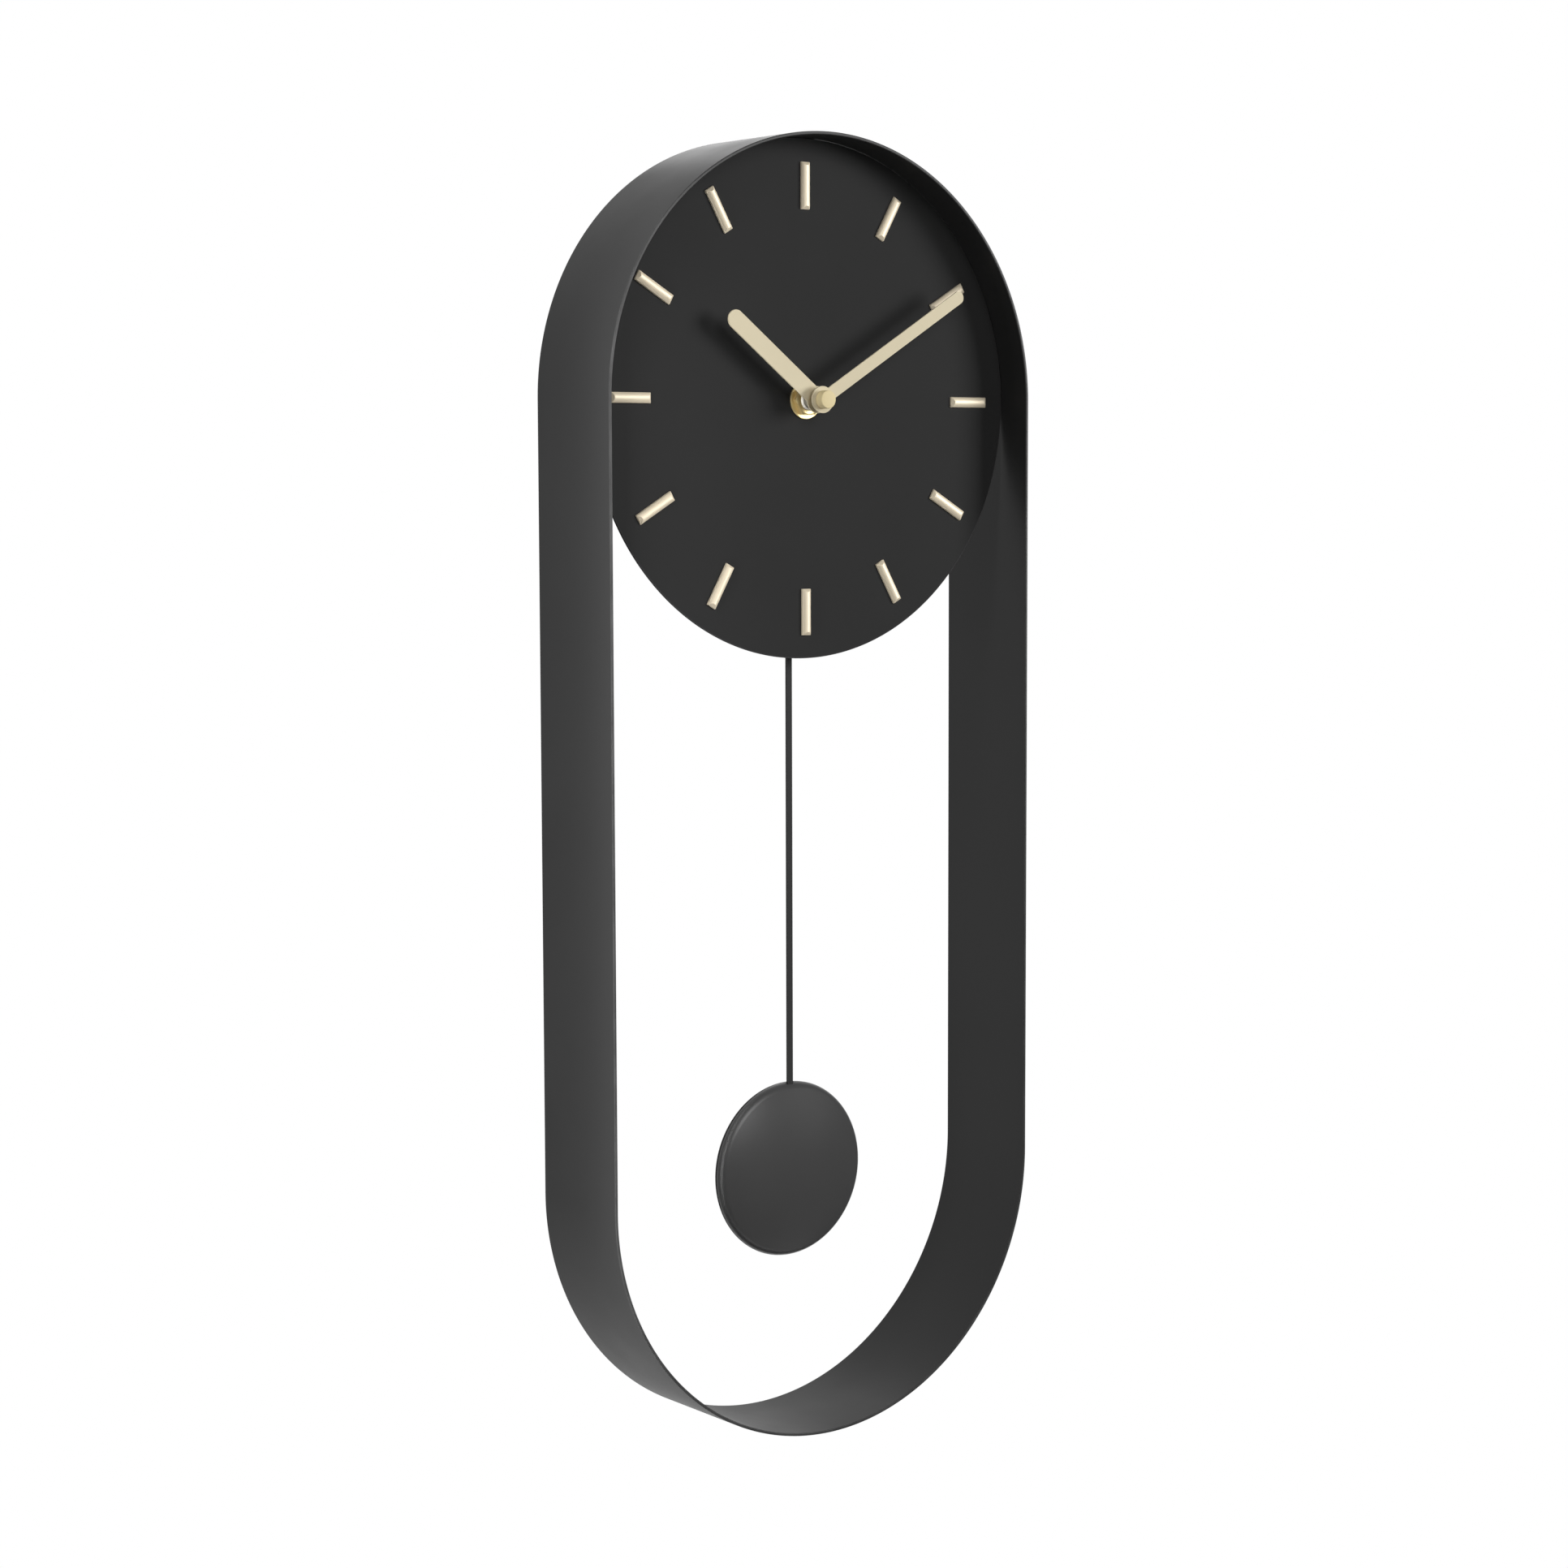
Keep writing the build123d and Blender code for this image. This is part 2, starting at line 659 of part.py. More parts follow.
# Train plate: carries the rear pivots of the wheels, on three posts
plate_points = (centre_point, third_point, fourth_point, fifth_point, rotor_point) + plate_posts
with BuildPart() as train_plate:
    with BuildSketch(arbor(centre_point, plate_depth)):
        with Locations(*plate_points):
            Circle(plate_margin)
        make_hull()
        with Locations(third_point, fourth_point, fifth_point, rotor_point):
            Circle(pivot_radius + running_gap, mode=Mode.SUBTRACT)
        Circle(rear_pivot_radius + running_gap, mode=Mode.SUBTRACT)
        with Locations(*plate_posts):
            Circle(peg_radius + seat_gap, mode=Mode.SUBTRACT)
    extrude(amount=plate_wall, dir=BACK)
train_plate.part.label = "train_plate"
export_step(train_plate.part, "parts/train_plate.step")

# Minute shaft: arbor of the minute hand with the cannon pinion and the clutch flange
shaft_front_y = dial_front_y - shaft_reach
cannon_end = cannon_depth + motion_face
with BuildPart() as minute_shaft:
    with BuildSketch(facing(shaft_front_y, z=dial_z)):
        Circle(shaft_radius)
    extrude(amount=case_front_y + cannon_depth - shaft_front_y, dir=BACK)
    with BuildSketch(arbor(centre_point, cannon_depth)):
        Polygon(*pinion_outline(cannon_teeth, motion_module, 0), align=None)
    extrude(amount=motion_face, dir=BACK)
    with BuildSketch(arbor(centre_point, cannon_end)):
        Circle(tip_radius(cannon_teeth, motion_module))
    extrude(amount=cannon_flange, dir=BACK)
    with BuildSketch(arbor(centre_point, cannon_end)):
        Circle(rear_shaft_radius)
    extrude(amount=plate_depth - shoulder_gap - cannon_end, dir=BACK)
    with BuildSketch(arbor(centre_point, plate_depth - shoulder_gap)):
        Circle(rear_pivot_radius)
    extrude(amount=plate_wall, dir=BACK)
minute_shaft.part.label = "minute_shaft"
export_step(minute_shaft.part, "parts/minute_shaft.step")

# Hour wheel: wheel and the pipe that carries the hour hand
motion_phase = mesh_phase(0, cannon_teeth, motion_teeth, centre_point, motion_point)
hour_phase = mesh_phase(0, motion_pinion_teeth, hour_teeth, motion_point, centre_point)
pipe_front_y = dial_front_y - pipe_reach
with BuildPart() as hour_wheel:
    with BuildSketch(arbor(centre_point, hour_depth)):
        Polygon(*wheel_outline(hour_teeth, motion_module, hour_phase), align=None)
    extrude(amount=motion_face, dir=BACK)
    with BuildSketch(facing(pipe_front_y, z=dial_z)):
        Circle(pipe_radius)
    extrude(amount=case_front_y + hour_depth - pipe_front_y, dir=BACK)
    with BuildSketch(facing(pipe_front_y, z=dial_z)):
        Circle(shaft_radius + running_gap)
    extrude(amount=frame_depth, dir=BACK, mode=Mode.SUBTRACT)
hour_wheel.part.label = "hour_wheel"
export_step(hour_wheel.part, "parts/hour_wheel.step")

# Motion wheel: wheel and pinion between the cannon pinion and the hour wheel
with BuildPart() as motion_wheel:
    with BuildSketch(arbor(motion_point, hour_depth)):
        Polygon(*pinion_outline(motion_pinion_teeth, motion_module, 0), align=None)
    extrude(amount=cannon_depth - hour_depth, dir=BACK)
    with BuildSketch(arbor(motion_point, cannon_depth)):
        Polygon(*wheel_outline(motion_teeth, motion_module, motion_phase), align=None)
    extrude(amount=motion_face, dir=BACK)
    with BuildSketch(arbor(motion_point, hour_depth)):
        Circle(stud_radius + running_gap)
    extrude(amount=case_depth, dir=BACK, mode=Mode.SUBTRACT)
motion_wheel.part.label = "motion_wheel"
export_step(motion_wheel.part, "parts/motion_wheel.step")

# Setting pinion and its arbor, and the fluted knob behind the case
setting_phase = mesh_phase(motion_phase, motion_teeth, setting_teeth, motion_point, setting_point)
knob_depth = case_depth + loose_gap
with BuildPart() as setting_pinion:
    with BuildSketch(arbor(setting_point, setting_boss_top - pivot_length)):
        Circle(rear_pivot_radius)
    extrude(amount=pivot_length + cannon_depth - setting_boss_top, dir=BACK)
    with BuildSketch(arbor(setting_point, cannon_depth - pinion_overlap)):
        Polygon(*pinion_outline(setting_teeth, motion_module, setting_phase), align=None)
    extrude(amount=motion_face + 2 * pinion_overlap, dir=BACK)
    with BuildSketch(arbor(setting_point, cannon_depth)):
        Circle(setting_arbor_radius)
    extrude(amount=knob_depth + knob_length - knob_end_wall - cannon_depth, dir=BACK)
setting_pinion.part.label = "setting_pinion"
export_step(setting_pinion.part, "parts/setting_pinion.step")

with BuildPart() as setting_knob:
    with BuildSketch(arbor(setting_point, knob_depth)):
        Circle(knob_radius)
        with PolarLocations(knob_radius, knob_flutes):
            Circle(knob_flute_radius, mode=Mode.SUBTRACT)
    extrude(amount=knob_length, dir=BACK)
    with BuildSketch(arbor(setting_point, knob_depth)):
        Circle(setting_arbor_radius + press_gap)
    extrude(amount=knob_length - knob_end_wall + seat_gap, dir=BACK, mode=Mode.SUBTRACT)
setting_knob.part.label = "setting_knob"
export_step(setting_knob.part, "parts/setting_knob.step")

# Centre wheel, its clutch spring and the ring that keeps both on the minute shaft
with BuildPart() as centre_wheel:
    with BuildSketch(arbor(centre_point, centre_depth)):
        Polygon(*wheel_outline(centre_teeth, train_module, 0), align=None)
        Circle(rear_shaft_radius + running_gap, mode=Mode.SUBTRACT)
    extrude(amount=centre_face, dir=BACK)
centre_wheel.part.label = "centre_wheel"
export_step(centre_wheel.part, "parts/centre_wheel.step")

with BuildPart() as clutch_spring:
    with BuildSketch(arbor(centre_point, centre_depth - seat_gap)):
        Circle(clutch_radius)
        Circle(rear_shaft_radius + running_gap, mode=Mode.SUBTRACT)
    extrude(amount=clutch_wall, dir=FRONT)
clutch_spring.part.label = "clutch_spring"
export_step(clutch_spring.part, "parts/clutch_spring.step")

with BuildPart() as retaining_ring:
    with BuildSketch(arbor(centre_point, centre_depth + centre_face + press_gap)):
        Circle(ring_radius)
        Circle(rear_shaft_radius + press_gap, mode=Mode.SUBTRACT)
    extrude(amount=ring_wall, dir=BACK)
retaining_ring.part.label = "retaining_ring"
export_step(retaining_ring.part, "parts/retaining_ring.step")

# Third, fourth and fifth wheels: each a moulded wheel, pinion and arbor in one
centre = (centre_point, centre_teeth, centre_depth, centre_face)
third = (third_point, third_teeth, third_depth, train_face)
fourth = (fourth_point, fourth_teeth, fourth_depth, train_face)
fifth = (fifth_point, fifth_teeth, fifth_depth, train_face)
train = (("third_wheel", third, centre), ("fourth_wheel", fourth, third), ("fifth_wheel", fifth, fourth))
boss_top = dict(boss_tops)
for name, wheel, driven in train:
    point, teeth, depth, face = wheel
    driven_point, driven_teeth, driven_depth, driven_face = driven
    pinion_phase = mesh_phase(0, driven_teeth, train_pinion_teeth, driven_point, point)
    with BuildPart() as train_wheel:
        with BuildSketch(arbor(point, depth)):
            Polygon(*wheel_outline(teeth, train_module, 0), align=None)
        extrude(amount=face, dir=BACK)
        with BuildSketch(arbor(point, driven_depth - pinion_overlap)):
            Polygon(*pinion_outline(train_pinion_teeth, train_module, pinion_phase), align=None)
        extrude(amount=driven_face + 2 * pinion_overlap, dir=BACK)
        with BuildSketch(arbor(point, boss_top[point] + shoulder_gap)):
            Circle(arbor_radius)
        extrude(amount=plate_depth - 2 * shoulder_gap - boss_top[point], dir=BACK)
        with BuildSketch(arbor(point, boss_top[point] - pivot_length)):
            Circle(pivot_radius)
        extrude(amount=plate_depth + plate_wall - boss_top[point] + pivot_length, dir=BACK)
    train_wheel.part.label = name
    export_step(train_wheel.part, f"parts/{name}.step")

# Rotor of the stepping motor: moulded pinion and arbor, with its ring magnet
rotor_phase = mesh_phase(0, fifth_teeth, train_pinion_teeth, fifth_point, rotor_point)
rotor_top = boss_top[rotor_point]
with BuildPart() as rotor_pinion:
    with BuildSketch(arbor(rotor_point, fifth_depth - pinion_overlap)):
        Polygon(*pinion_outline(train_pinion_teeth, train_module, rotor_phase), align=None)
    extrude(amount=train_face + 2 * pinion_overlap, dir=BACK)
    with BuildSketch(arbor(rotor_point, rotor_top + shoulder_gap)):
        Circle(arbor_radius)
    extrude(amount=plate_depth - 2 * shoulder_gap - rotor_top, dir=BACK)
    with BuildSketch(arbor(rotor_point, rotor_top - pivot_length)):
        Circle(pivot_radius)
    extrude(amount=plate_depth + plate_wall - rotor_top + pivot_length, dir=BACK)
rotor_pinion.part.label = "rotor_pinion"
export_step(rotor_pinion.part, "parts/rotor_pinion.step")

with BuildPart() as rotor_magnet:
    with BuildSketch(arbor(rotor_point, rotor_magnet_depth)):
        Circle(rotor_magnet_radius)
        Circle(arbor_radius + press_gap, mode=Mode.SUBTRACT)
    extrude(amount=rotor_magnet_length, dir=BACK)
rotor_magnet.part.label = "rotor_magnet"
export_step(rotor_magnet.part, "parts/rotor_magnet.step")

# Stator: a C-shaped lamination round the rotor, closed by the coil's core
stator_left = rotor_point[0] - rotor_magnet_radius - stator_gap - stator_back_rim
stator_throat = rotor_point[0] + rotor_magnet_radius + stator_gap + stator_front_rim
with BuildPart() as motor_stator:
    with BuildSketch(arbor((0, rotor_point[1]), stator_depth)):
        with Locations((stator_left, 0)):
            Rectangle(stator_right - stator_left, 2 * stator_half_height, align=(Align.MIN, Align.CENTER))
        with Locations((stator_throat, 0)):
            Rectangle(
                stator_right,
                2 * (stator_half_height - stator_arm),
                align=(Align.MIN, Align.CENTER),
                mode=Mode.SUBTRACT,
            )
        with Locations((rotor_point[0], 0)):
            Circle(rotor_magnet_radius + stator_gap, mode=Mode.SUBTRACT)
    extrude(amount=stator_wall, dir=BACK)
motor_stator.part.label = "motor_stator"
export_step(motor_stator.part, "parts/motor_stator.step")

with BuildPart() as motor_core:
    with BuildSketch(arbor(core_point, core_depth)):
        Rectangle(core_width, 2 * stator_half_height)
    extrude(amount=core_wall, dir=BACK)
motor_core.part.label = "motor_core"
export_step(motor_core.part, "parts/motor_core.step")

# Bobbin and winding on the core; the coil's own axis runs along Z
coil_floor = Plane(
    origin=(core_point[0], case_front_y + winding_depth, dial_z + core_point[1] - coil_half_length),
    x_dir=(1, 0, 0),
    z_dir=(0, 0, 1),
)
tube_width = core_width + 2 * (seat_gap + bobbin_wall)
tube_depth = core_wall + 2 * (seat_gap + bobbin_wall)
with BuildPart() as motor_bobbin:
    with BuildSketch(coil_floor):
        Rectangle(tube_width, tube_depth)
    extrude(amount=2 * coil_half_length)
    with BuildSketch(coil_floor, coil_floor.offset(2 * coil_half_length - bobbin_flange)):
        Circle(bobbin_radius)
    extrude(amount=bobbin_flange)
    with BuildSketch(coil_floor):
        Rectangle(core_width + 2 * seat_gap, core_wall + 2 * seat_gap)
    extrude(amount=2 * coil_half_length, mode=Mode.SUBTRACT)
motor_bobbin.part.label = "motor_bobbin"
export_step(motor_bobbin.part, "parts/motor_bobbin.step")

with BuildPart() as motor_winding:
    with BuildSketch(coil_floor.offset(bobbin_flange + seat_gap)):
        Circle(winding_radius)
        Rectangle(tube_width + 2 * press_gap, tube_depth + 2 * press_gap, mode=Mode.SUBTRACT)
    extrude(amount=2 * (coil_half_length - bobbin_flange - seat_gap))
motor_winding.part.label = "motor_winding"
export_step(motor_winding.part, "parts/motor_winding.step")

# Circuit board on its two posts, with the crystal can
with BuildPart() as circuit_board:
    with BuildSketch(arbor(board_point, board_depth)):
        Rectangle(board_width, board_height)
    extrude(amount=board_wall, dir=BACK)
circuit_board.part.label = "circuit_board"
export_step(circuit_board.part, "parts/circuit_board.step")

crystal_floor = Plane(
    origin=(
        board_point[0],
        case_front_y + board_depth + board_wall + seat_gap + crystal_radius,
        dial_z + board_point[1] - crystal_length / 2,
    ),
    x_dir=(1, 0, 0),
    z_dir=(0, 0, 1),
)
with BuildPart() as quartz_crystal:
    with BuildSketch(crystal_floor):
        Circle(crystal_radius)
    extrude(amount=crystal_length)
quartz_crystal.part.label = "quartz_crystal"
export_step(quartz_crystal.part, "parts/quartz_crystal.step")

# Cell: it lies across the bay, with its nub to the right
cell_end = Plane(
    origin=(-cell_length / 2, case_front_y + cell_depth, dial_z - cell_drop),
    x_dir=(0, 1, 0),
    z_dir=(1, 0, 0),
)
with BuildPart() as battery_cell:
    with BuildSketch(cell_end):
        Circle(cell_radius)
    extrude(amount=cell_length - cell_nub_length)
    chamfer(battery_cell.edges().filter_by(GeomType.CIRCLE), cell_edge)
    with BuildSketch(cell_end.offset(cell_length - cell_nub_length)):
        Circle(cell_nub_radius)
    extrude(amount=cell_nub_length)
battery_cell.part.label = "battery_cell"
export_step(battery_cell.part, "parts/battery_cell.step")

# Contacts: plates at the ends of the bay; one is dished to the nub, one bowed to the can
contact_outer = bay_half_width - seat_gap
contact_inner = contact_outer - contact_wall
contact_gap = contact_inner - cell_length / 2 - seat_gap
with BuildPart() as battery_contact_plus:
    with BuildSketch(Plane(origin=(contact_outer, 0, 0), x_dir=(0, 1, 0), z_dir=(-1, 0, 0))):
        with Locations((case_front_y + cell_depth, cell_drop - dial_z)):
            Rectangle(contact_width, contact_width)
    extrude(amount=contact_wall)
    with BuildSketch(Plane(origin=(contact_inner, 0, 0), x_dir=(0, 1, 0), z_dir=(-1, 0, 0))):
        with Locations((case_front_y + cell_depth, cell_drop - dial_z)):
            Circle(cell_nub_radius)
    extrude(amount=contact_gap)
battery_contact_plus.part.label = "battery_contact_plus"
export_step(battery_contact_plus.part, "parts/battery_contact_plus.step")

with BuildPart() as battery_contact_minus:
    with BuildSketch(turning(-contact_outer, dial_z - cell_drop)):
        with Locations((0, case_front_y + cell_depth)):
            Rectangle(contact_wall, contact_width, align=(Align.MIN, Align.CENTER))
        with BuildLine():
            bow = ThreePointArc(
                (contact_wall, case_front_y + cell_depth - contact_width / 2),
                (contact_wall + contact_gap, case_front_y + cell_depth),
                (contact_wall, case_front_y + cell_depth + contact_width / 2),
            )
            Line(bow @ 1, bow @ 0)
        make_face()
    extrude(amount=contact_width / 2, both=True)
battery_contact_minus.part.label = "battery_contact_minus"
export_step(battery_contact_minus.part, "parts/battery_contact_minus.step")

# Drive coil: spool on the case front, facing the magnet of the swing lever
drive_end = case_wall + drive_length
with BuildPart() as drive_bobbin:
    with BuildSketch(arbor(drive_point, case_wall)):
        Circle(drive_core_radius)
    extrude(amount=drive_length, dir=BACK)
    with BuildSketch(arbor(drive_point, case_wall)):
        Circle(drive_flange_radius)
    extrude(amount=drive_flange_wall, dir=BACK)
    with BuildSketch(arbor(drive_point, drive_end)):
        Circle(drive_flange_radius)
    extrude(amount=drive_flange_wall, dir=FRONT)
drive_bobbin.part.label = "drive_bobbin"
export_step(drive_bobbin.part, "parts/drive_bobbin.step")

with BuildPart() as drive_winding:
    with BuildSketch(arbor(drive_point, case_wall + drive_flange_wall + seat_gap)):
        Circle(drive_winding_radius)
        Circle(drive_core_radius + press_gap, mode=Mode.SUBTRACT)
    extrude(amount=drive_length - 2 * (drive_flange_wall + seat_gap), dir=BACK)
drive_winding.part.label = "drive_winding"
export_step(drive_winding.part, "parts/drive_winding.step")

# Pendulum pin: fixed in both halves of the case
with BuildPart() as pendulum_pin:
    with BuildSketch(arbor(swing_point, case_wall + seat_gap)):
        Circle(swing_pin_radius)
    extrude(amount=case_back_depth - case_wall - 2 * seat_gap, dir=BACK)
pendulum_pin.part.label = "pendulum_pin"
export_step(pendulum_pin.part, "parts/pendulum_pin.step")

# Swing lever: hub on the pin, paddle for the magnet, and the hook that carries the rod
hook_back_y = case_front_y + swing_depth + swing_wall
hook_front_y = hook_back_y - hook_wall
hook_step = case_drop + hook_clearance
with BuildPart() as swing_lever:
    with BuildSketch(arbor(swing_point, swing_depth)):
        Circle(swing_hub_radius)
        Rectangle(swing_arm_width, hook_step - swing_drop, align=(Align.CENTER, Align.MAX))
        with Locations((0, swing_drop - swing_magnet_drop)):
            Circle(paddle_radius)
    extrude(amount=swing_wall, dir=BACK)
    with BuildSketch(facing(hook_front_y, z=hook_z)):
        Rectangle(swing_arm_width, hook_drop - hook_step, align=(Align.CENTER, Align.MIN))
        Circle(hook_end_radius)
    extrude(amount=hook_wall, dir=BACK)
    with BuildSketch(facing(hook_front_y, z=hook_z)):
        Circle(hook_peg_radius)
    extrude(amount=rod_wall + 2 * loose_gap + hook_lip, dir=FRONT)
    with BuildSketch(facing(hook_front_y - rod_wall - 2 * loose_gap, z=hook_z)):
        Rectangle(hook_peg_radius, hook_peg_radius + hook_lip, align=(Align.CENTER, Align.MIN))
    extrude(amount=hook_lip, dir=FRONT)
    with BuildSketch(arbor(swing_point, swing_depth)):
        Circle(swing_pin_radius + running_gap)
    extrude(amount=swing_wall, dir=BACK, mode=Mode.SUBTRACT)
    with BuildSketch(arbor(drive_point, swing_depth)):
        Circle(swing_magnet_radius + press_gap)
    extrude(amount=swing_magnet_length, dir=BACK, mode=Mode.SUBTRACT)
swing_lever.part.label = "swing_lever"
export_step(swing_lever.part, "parts/swing_lever.step")

with BuildPart() as swing_magnet:
    with BuildSketch(arbor(drive_point, swing_depth)):
        Circle(swing_magnet_radius)
    extrude(amount=swing_magnet_length, dir=BACK)
swing_magnet.part.label = "swing_magnet"
export_step(swing_magnet.part, "parts/swing_magnet.step")

# Pendulum rod: flat strip with an eye on the hook; its tail lies on the seats in the bob
rod_front_y = rod_y - rod_wall / 2
rod_end_z = bob_z - rod_tail
with BuildPart() as pendulum_rod:
    with BuildSketch(facing(rod_front_y, z=eye_z)):
        Circle(rod_eye_radius)
        Rectangle(rod_width, eye_z - rod_end_z, align=(Align.CENTER, Align.MAX))
        Circle(rod_eye_bore, mode=Mode.SUBTRACT)
    extrude(amount=rod_wall, dir=BACK)
pendulum_rod.part.label = "pendulum_rod"
export_step(pendulum_rod.part, "parts/pendulum_rod.step")

# Bob front: pressed shell, a domed face that runs into a round shoulder, slotted for the rod
crown_turn = math.radians(bob_crown_tilt)
rim_turn = math.radians(bob_rim_tilt)
shoulder_turn = (crown_turn + rim_turn) / 2
bend_radius = bob_radius - bob_shoulder_round * math.sin(rim_turn)
bend_y = bob_seam_y + bob_shoulder_round * math.cos(rim_turn)
bend_reach = bend_radius / math.sin(crown_turn)
crown_y = bend_y + bend_reach * math.cos(crown_turn)


def crown_point(turn, depth):
    reach = bend_reach + bob_shoulder_round - depth
    return (reach * math.sin(turn), crown_y - reach * math.cos(turn))


def shoulder_point(turn, depth):
    reach = bob_shoulder_round - depth
    return (bend_radius + reach * math.sin(turn), bend_y - reach * math.cos(turn))


with BuildPart() as bob_front:
    with BuildSketch(turning(0, bob_z)):
        with BuildLine():
            face = ThreePointArc(*(crown_point(turn, 0) for turn in (0, crown_turn / 2, crown_turn)))
            ThreePointArc(face @ 1, shoulder_point(shoulder_turn, 0), (bob_radius, bob_seam_y))
            Polyline(
                (bob_radius, bob_seam_y),
                (bob_radius - bob_wall, bob_seam_y),
                shoulder_point(shoulder_turn, bob_wall),
                crown_point(crown_turn, bob_wall),
            )
            lining = ThreePointArc(
                *(crown_point(turn, bob_wall) for turn in (crown_turn, crown_turn / 2, 0))
            )
            Line(lining @ 1, face @ 0)
        make_face()
    revolve(axis=Axis((0, 0, bob_z), BACK))
    with BuildSketch(facing(rod_front_y - seat_gap, z=bob_z + bob_radius)):
        Rectangle(rod_width + 2 * seat_gap, 2 * bob_shoulder_round)
    extrude(amount=frame_depth, dir=BACK, mode=Mode.SUBTRACT)
bob_front.part.label = "bob_front"
export_step(bob_front.part, "parts/bob_front.step")

# Bob back: shallow dish that closes the shell, with two raised seats for the rod
flat_radius = bob_radius - bob_back_round
inner_back_round = bob_back_round - bob_wall
half_turn = math.sqrt(0.5)
with BuildPart() as bob_back:
    with BuildSketch(turning(0, bob_z)):
        with BuildLine():
            Line((0, bob_back_y), (flat_radius, bob_back_y))
            ThreePointArc(
                (flat_radius, bob_back_y),
                (flat_radius + bob_back_round * half_turn, bob_seam_y + bob_back_round * half_turn),
                (bob_radius, bob_seam_y),
            )
            Polyline(
                (bob_radius, bob_seam_y),
                (bob_radius - bob_wall, bob_seam_y),
                (flat_radius + inner_back_round * half_turn, bob_seam_y + inner_back_round * half_turn),
                (flat_radius, bob_back_y - bob_wall),
                (0, bob_back_y - bob_wall),
                (0, bob_back_y),
            )
        make_face()
    revolve(axis=Axis((0, 0, bob_z), BACK))
    with BuildSketch(facing(rod_back_y + press_gap, z=bob_z)):
        for rise in bob_seat_rises:
            with Locations((0, rise)):
                Rectangle(bob_seat_width, bob_seat_height)
    extrude(amount=bob_back_y - bob_wall - rod_back_y - press_gap, dir=BACK)
bob_back.part.label = "bob_back"
export_step(bob_back.part, "parts/bob_back.step")

# Hands: stick, round tip and round eye, each with a collet behind it
hands = (
    ("hour", hour_hand_angle, hour_hand_stand, hour_hand_length, hour_hand_width, pipe_radius),
    ("minute", minute_hand_angle, minute_hand_stand, minute_hand_length, minute_hand_width, shaft_radius),
)
for name, angle, stand, length, width, seat_radius in hands:
    hand_back_y = dial_front_y - stand
    with BuildPart() as hand:
        with BuildSketch(clockwise(angle, hand_back_y)):
            Rectangle(width, length - width / 2, align=(Align.CENTER, Align.MIN))
            with Locations((0, length - width / 2)):
                Circle(width / 2)
            Circle(hand_eye_radius)
            Circle(seat_radius + press_gap, mode=Mode.SUBTRACT)
        extrude(amount=hand_wall, dir=FRONT)
    hand.part.label = f"{name}_hand"
    export_step(hand.part, f"parts/{name}_hand.step")
    with BuildPart() as collet:
        with BuildSketch(facing(hand_back_y, z=dial_z)):
            Circle(collet_radius)
            Circle(seat_radius + press_gap, mode=Mode.SUBTRACT)
        extrude(amount=collet_length, dir=BACK)
    collet.part.label = f"{name}_collet"
    export_step(collet.part, f"parts/{name}_collet.step")

# End cap: blind button pressed over the tip of the minute shaft
cap_back_y = dial_front_y - minute_hand_stand - hand_wall
with BuildPart() as end_cap:
    with BuildSketch(facing(cap_back_y, z=dial_z)):
        Circle(cap_radius)
    extrude(amount=cap_length, dir=FRONT)
    chamfer(end_cap.edges().group_by(Axis.Y)[0], cap_edge)
    with BuildSketch(facing(cap_back_y, z=dial_z)):
        Circle(shaft_radius + press_gap)
    extrude(amount=cap_back_y - shaft_front_y + seat_gap, dir=FRONT, mode=Mode.SUBTRACT)
end_cap.part.label = "end_cap"
export_step(end_cap.part, "parts/end_cap.step")
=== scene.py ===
import json
import math

import bmesh
import bpy
from mathutils import Matrix, Vector


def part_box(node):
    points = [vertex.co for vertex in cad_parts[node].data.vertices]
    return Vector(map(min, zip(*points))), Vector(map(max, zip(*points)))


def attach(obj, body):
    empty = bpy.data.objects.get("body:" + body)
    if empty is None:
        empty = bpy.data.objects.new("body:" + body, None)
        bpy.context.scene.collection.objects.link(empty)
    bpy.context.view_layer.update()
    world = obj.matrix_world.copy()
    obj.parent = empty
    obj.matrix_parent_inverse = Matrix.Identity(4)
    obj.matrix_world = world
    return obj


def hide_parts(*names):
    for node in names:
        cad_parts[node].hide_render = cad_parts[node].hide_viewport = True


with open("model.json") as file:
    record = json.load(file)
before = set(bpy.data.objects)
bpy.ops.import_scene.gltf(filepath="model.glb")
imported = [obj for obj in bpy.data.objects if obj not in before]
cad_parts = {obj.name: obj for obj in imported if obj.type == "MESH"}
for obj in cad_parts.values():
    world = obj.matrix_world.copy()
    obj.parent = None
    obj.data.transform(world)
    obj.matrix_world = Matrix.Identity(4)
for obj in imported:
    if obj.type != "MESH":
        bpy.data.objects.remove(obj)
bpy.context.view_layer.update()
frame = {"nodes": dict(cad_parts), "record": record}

cad = frame["nodes"]

# Frame band: one strip of mild steel, bent to a stadium on edge and welded shut. It is coated with
# matt black powder, which rounds the two cut edges. All meshes are drawn in millimetres.


def box_mm(node):
    """Lowest and highest corner of a CAD node in millimetres."""
    return [1000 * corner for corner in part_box(node)]


band_wall = 1.2
band_edge = 0.35
band_steps = 128
band_low, band_high = box_mm("frame_band")
bend_radius = band_high.x
dial_z = band_high.z - bend_radius
bob_z = band_low.z + bend_radius
crease_angle = math.radians(40)
wear_and_sheen_mm = 0.6
wear_and_sheen_share = 0.8
edge_breaks_per_metre = 60.0


def linear(code):
    """Linear colour of an sRGB hex code."""
    parts = [int(code[i : i + 2], 16) / 255 for i in (0, 2, 4)]
    return [c / 12.92 if c <= 0.04045 else ((c + 0.055) / 1.055) ** 2.4 for c in parts] + [1.0]


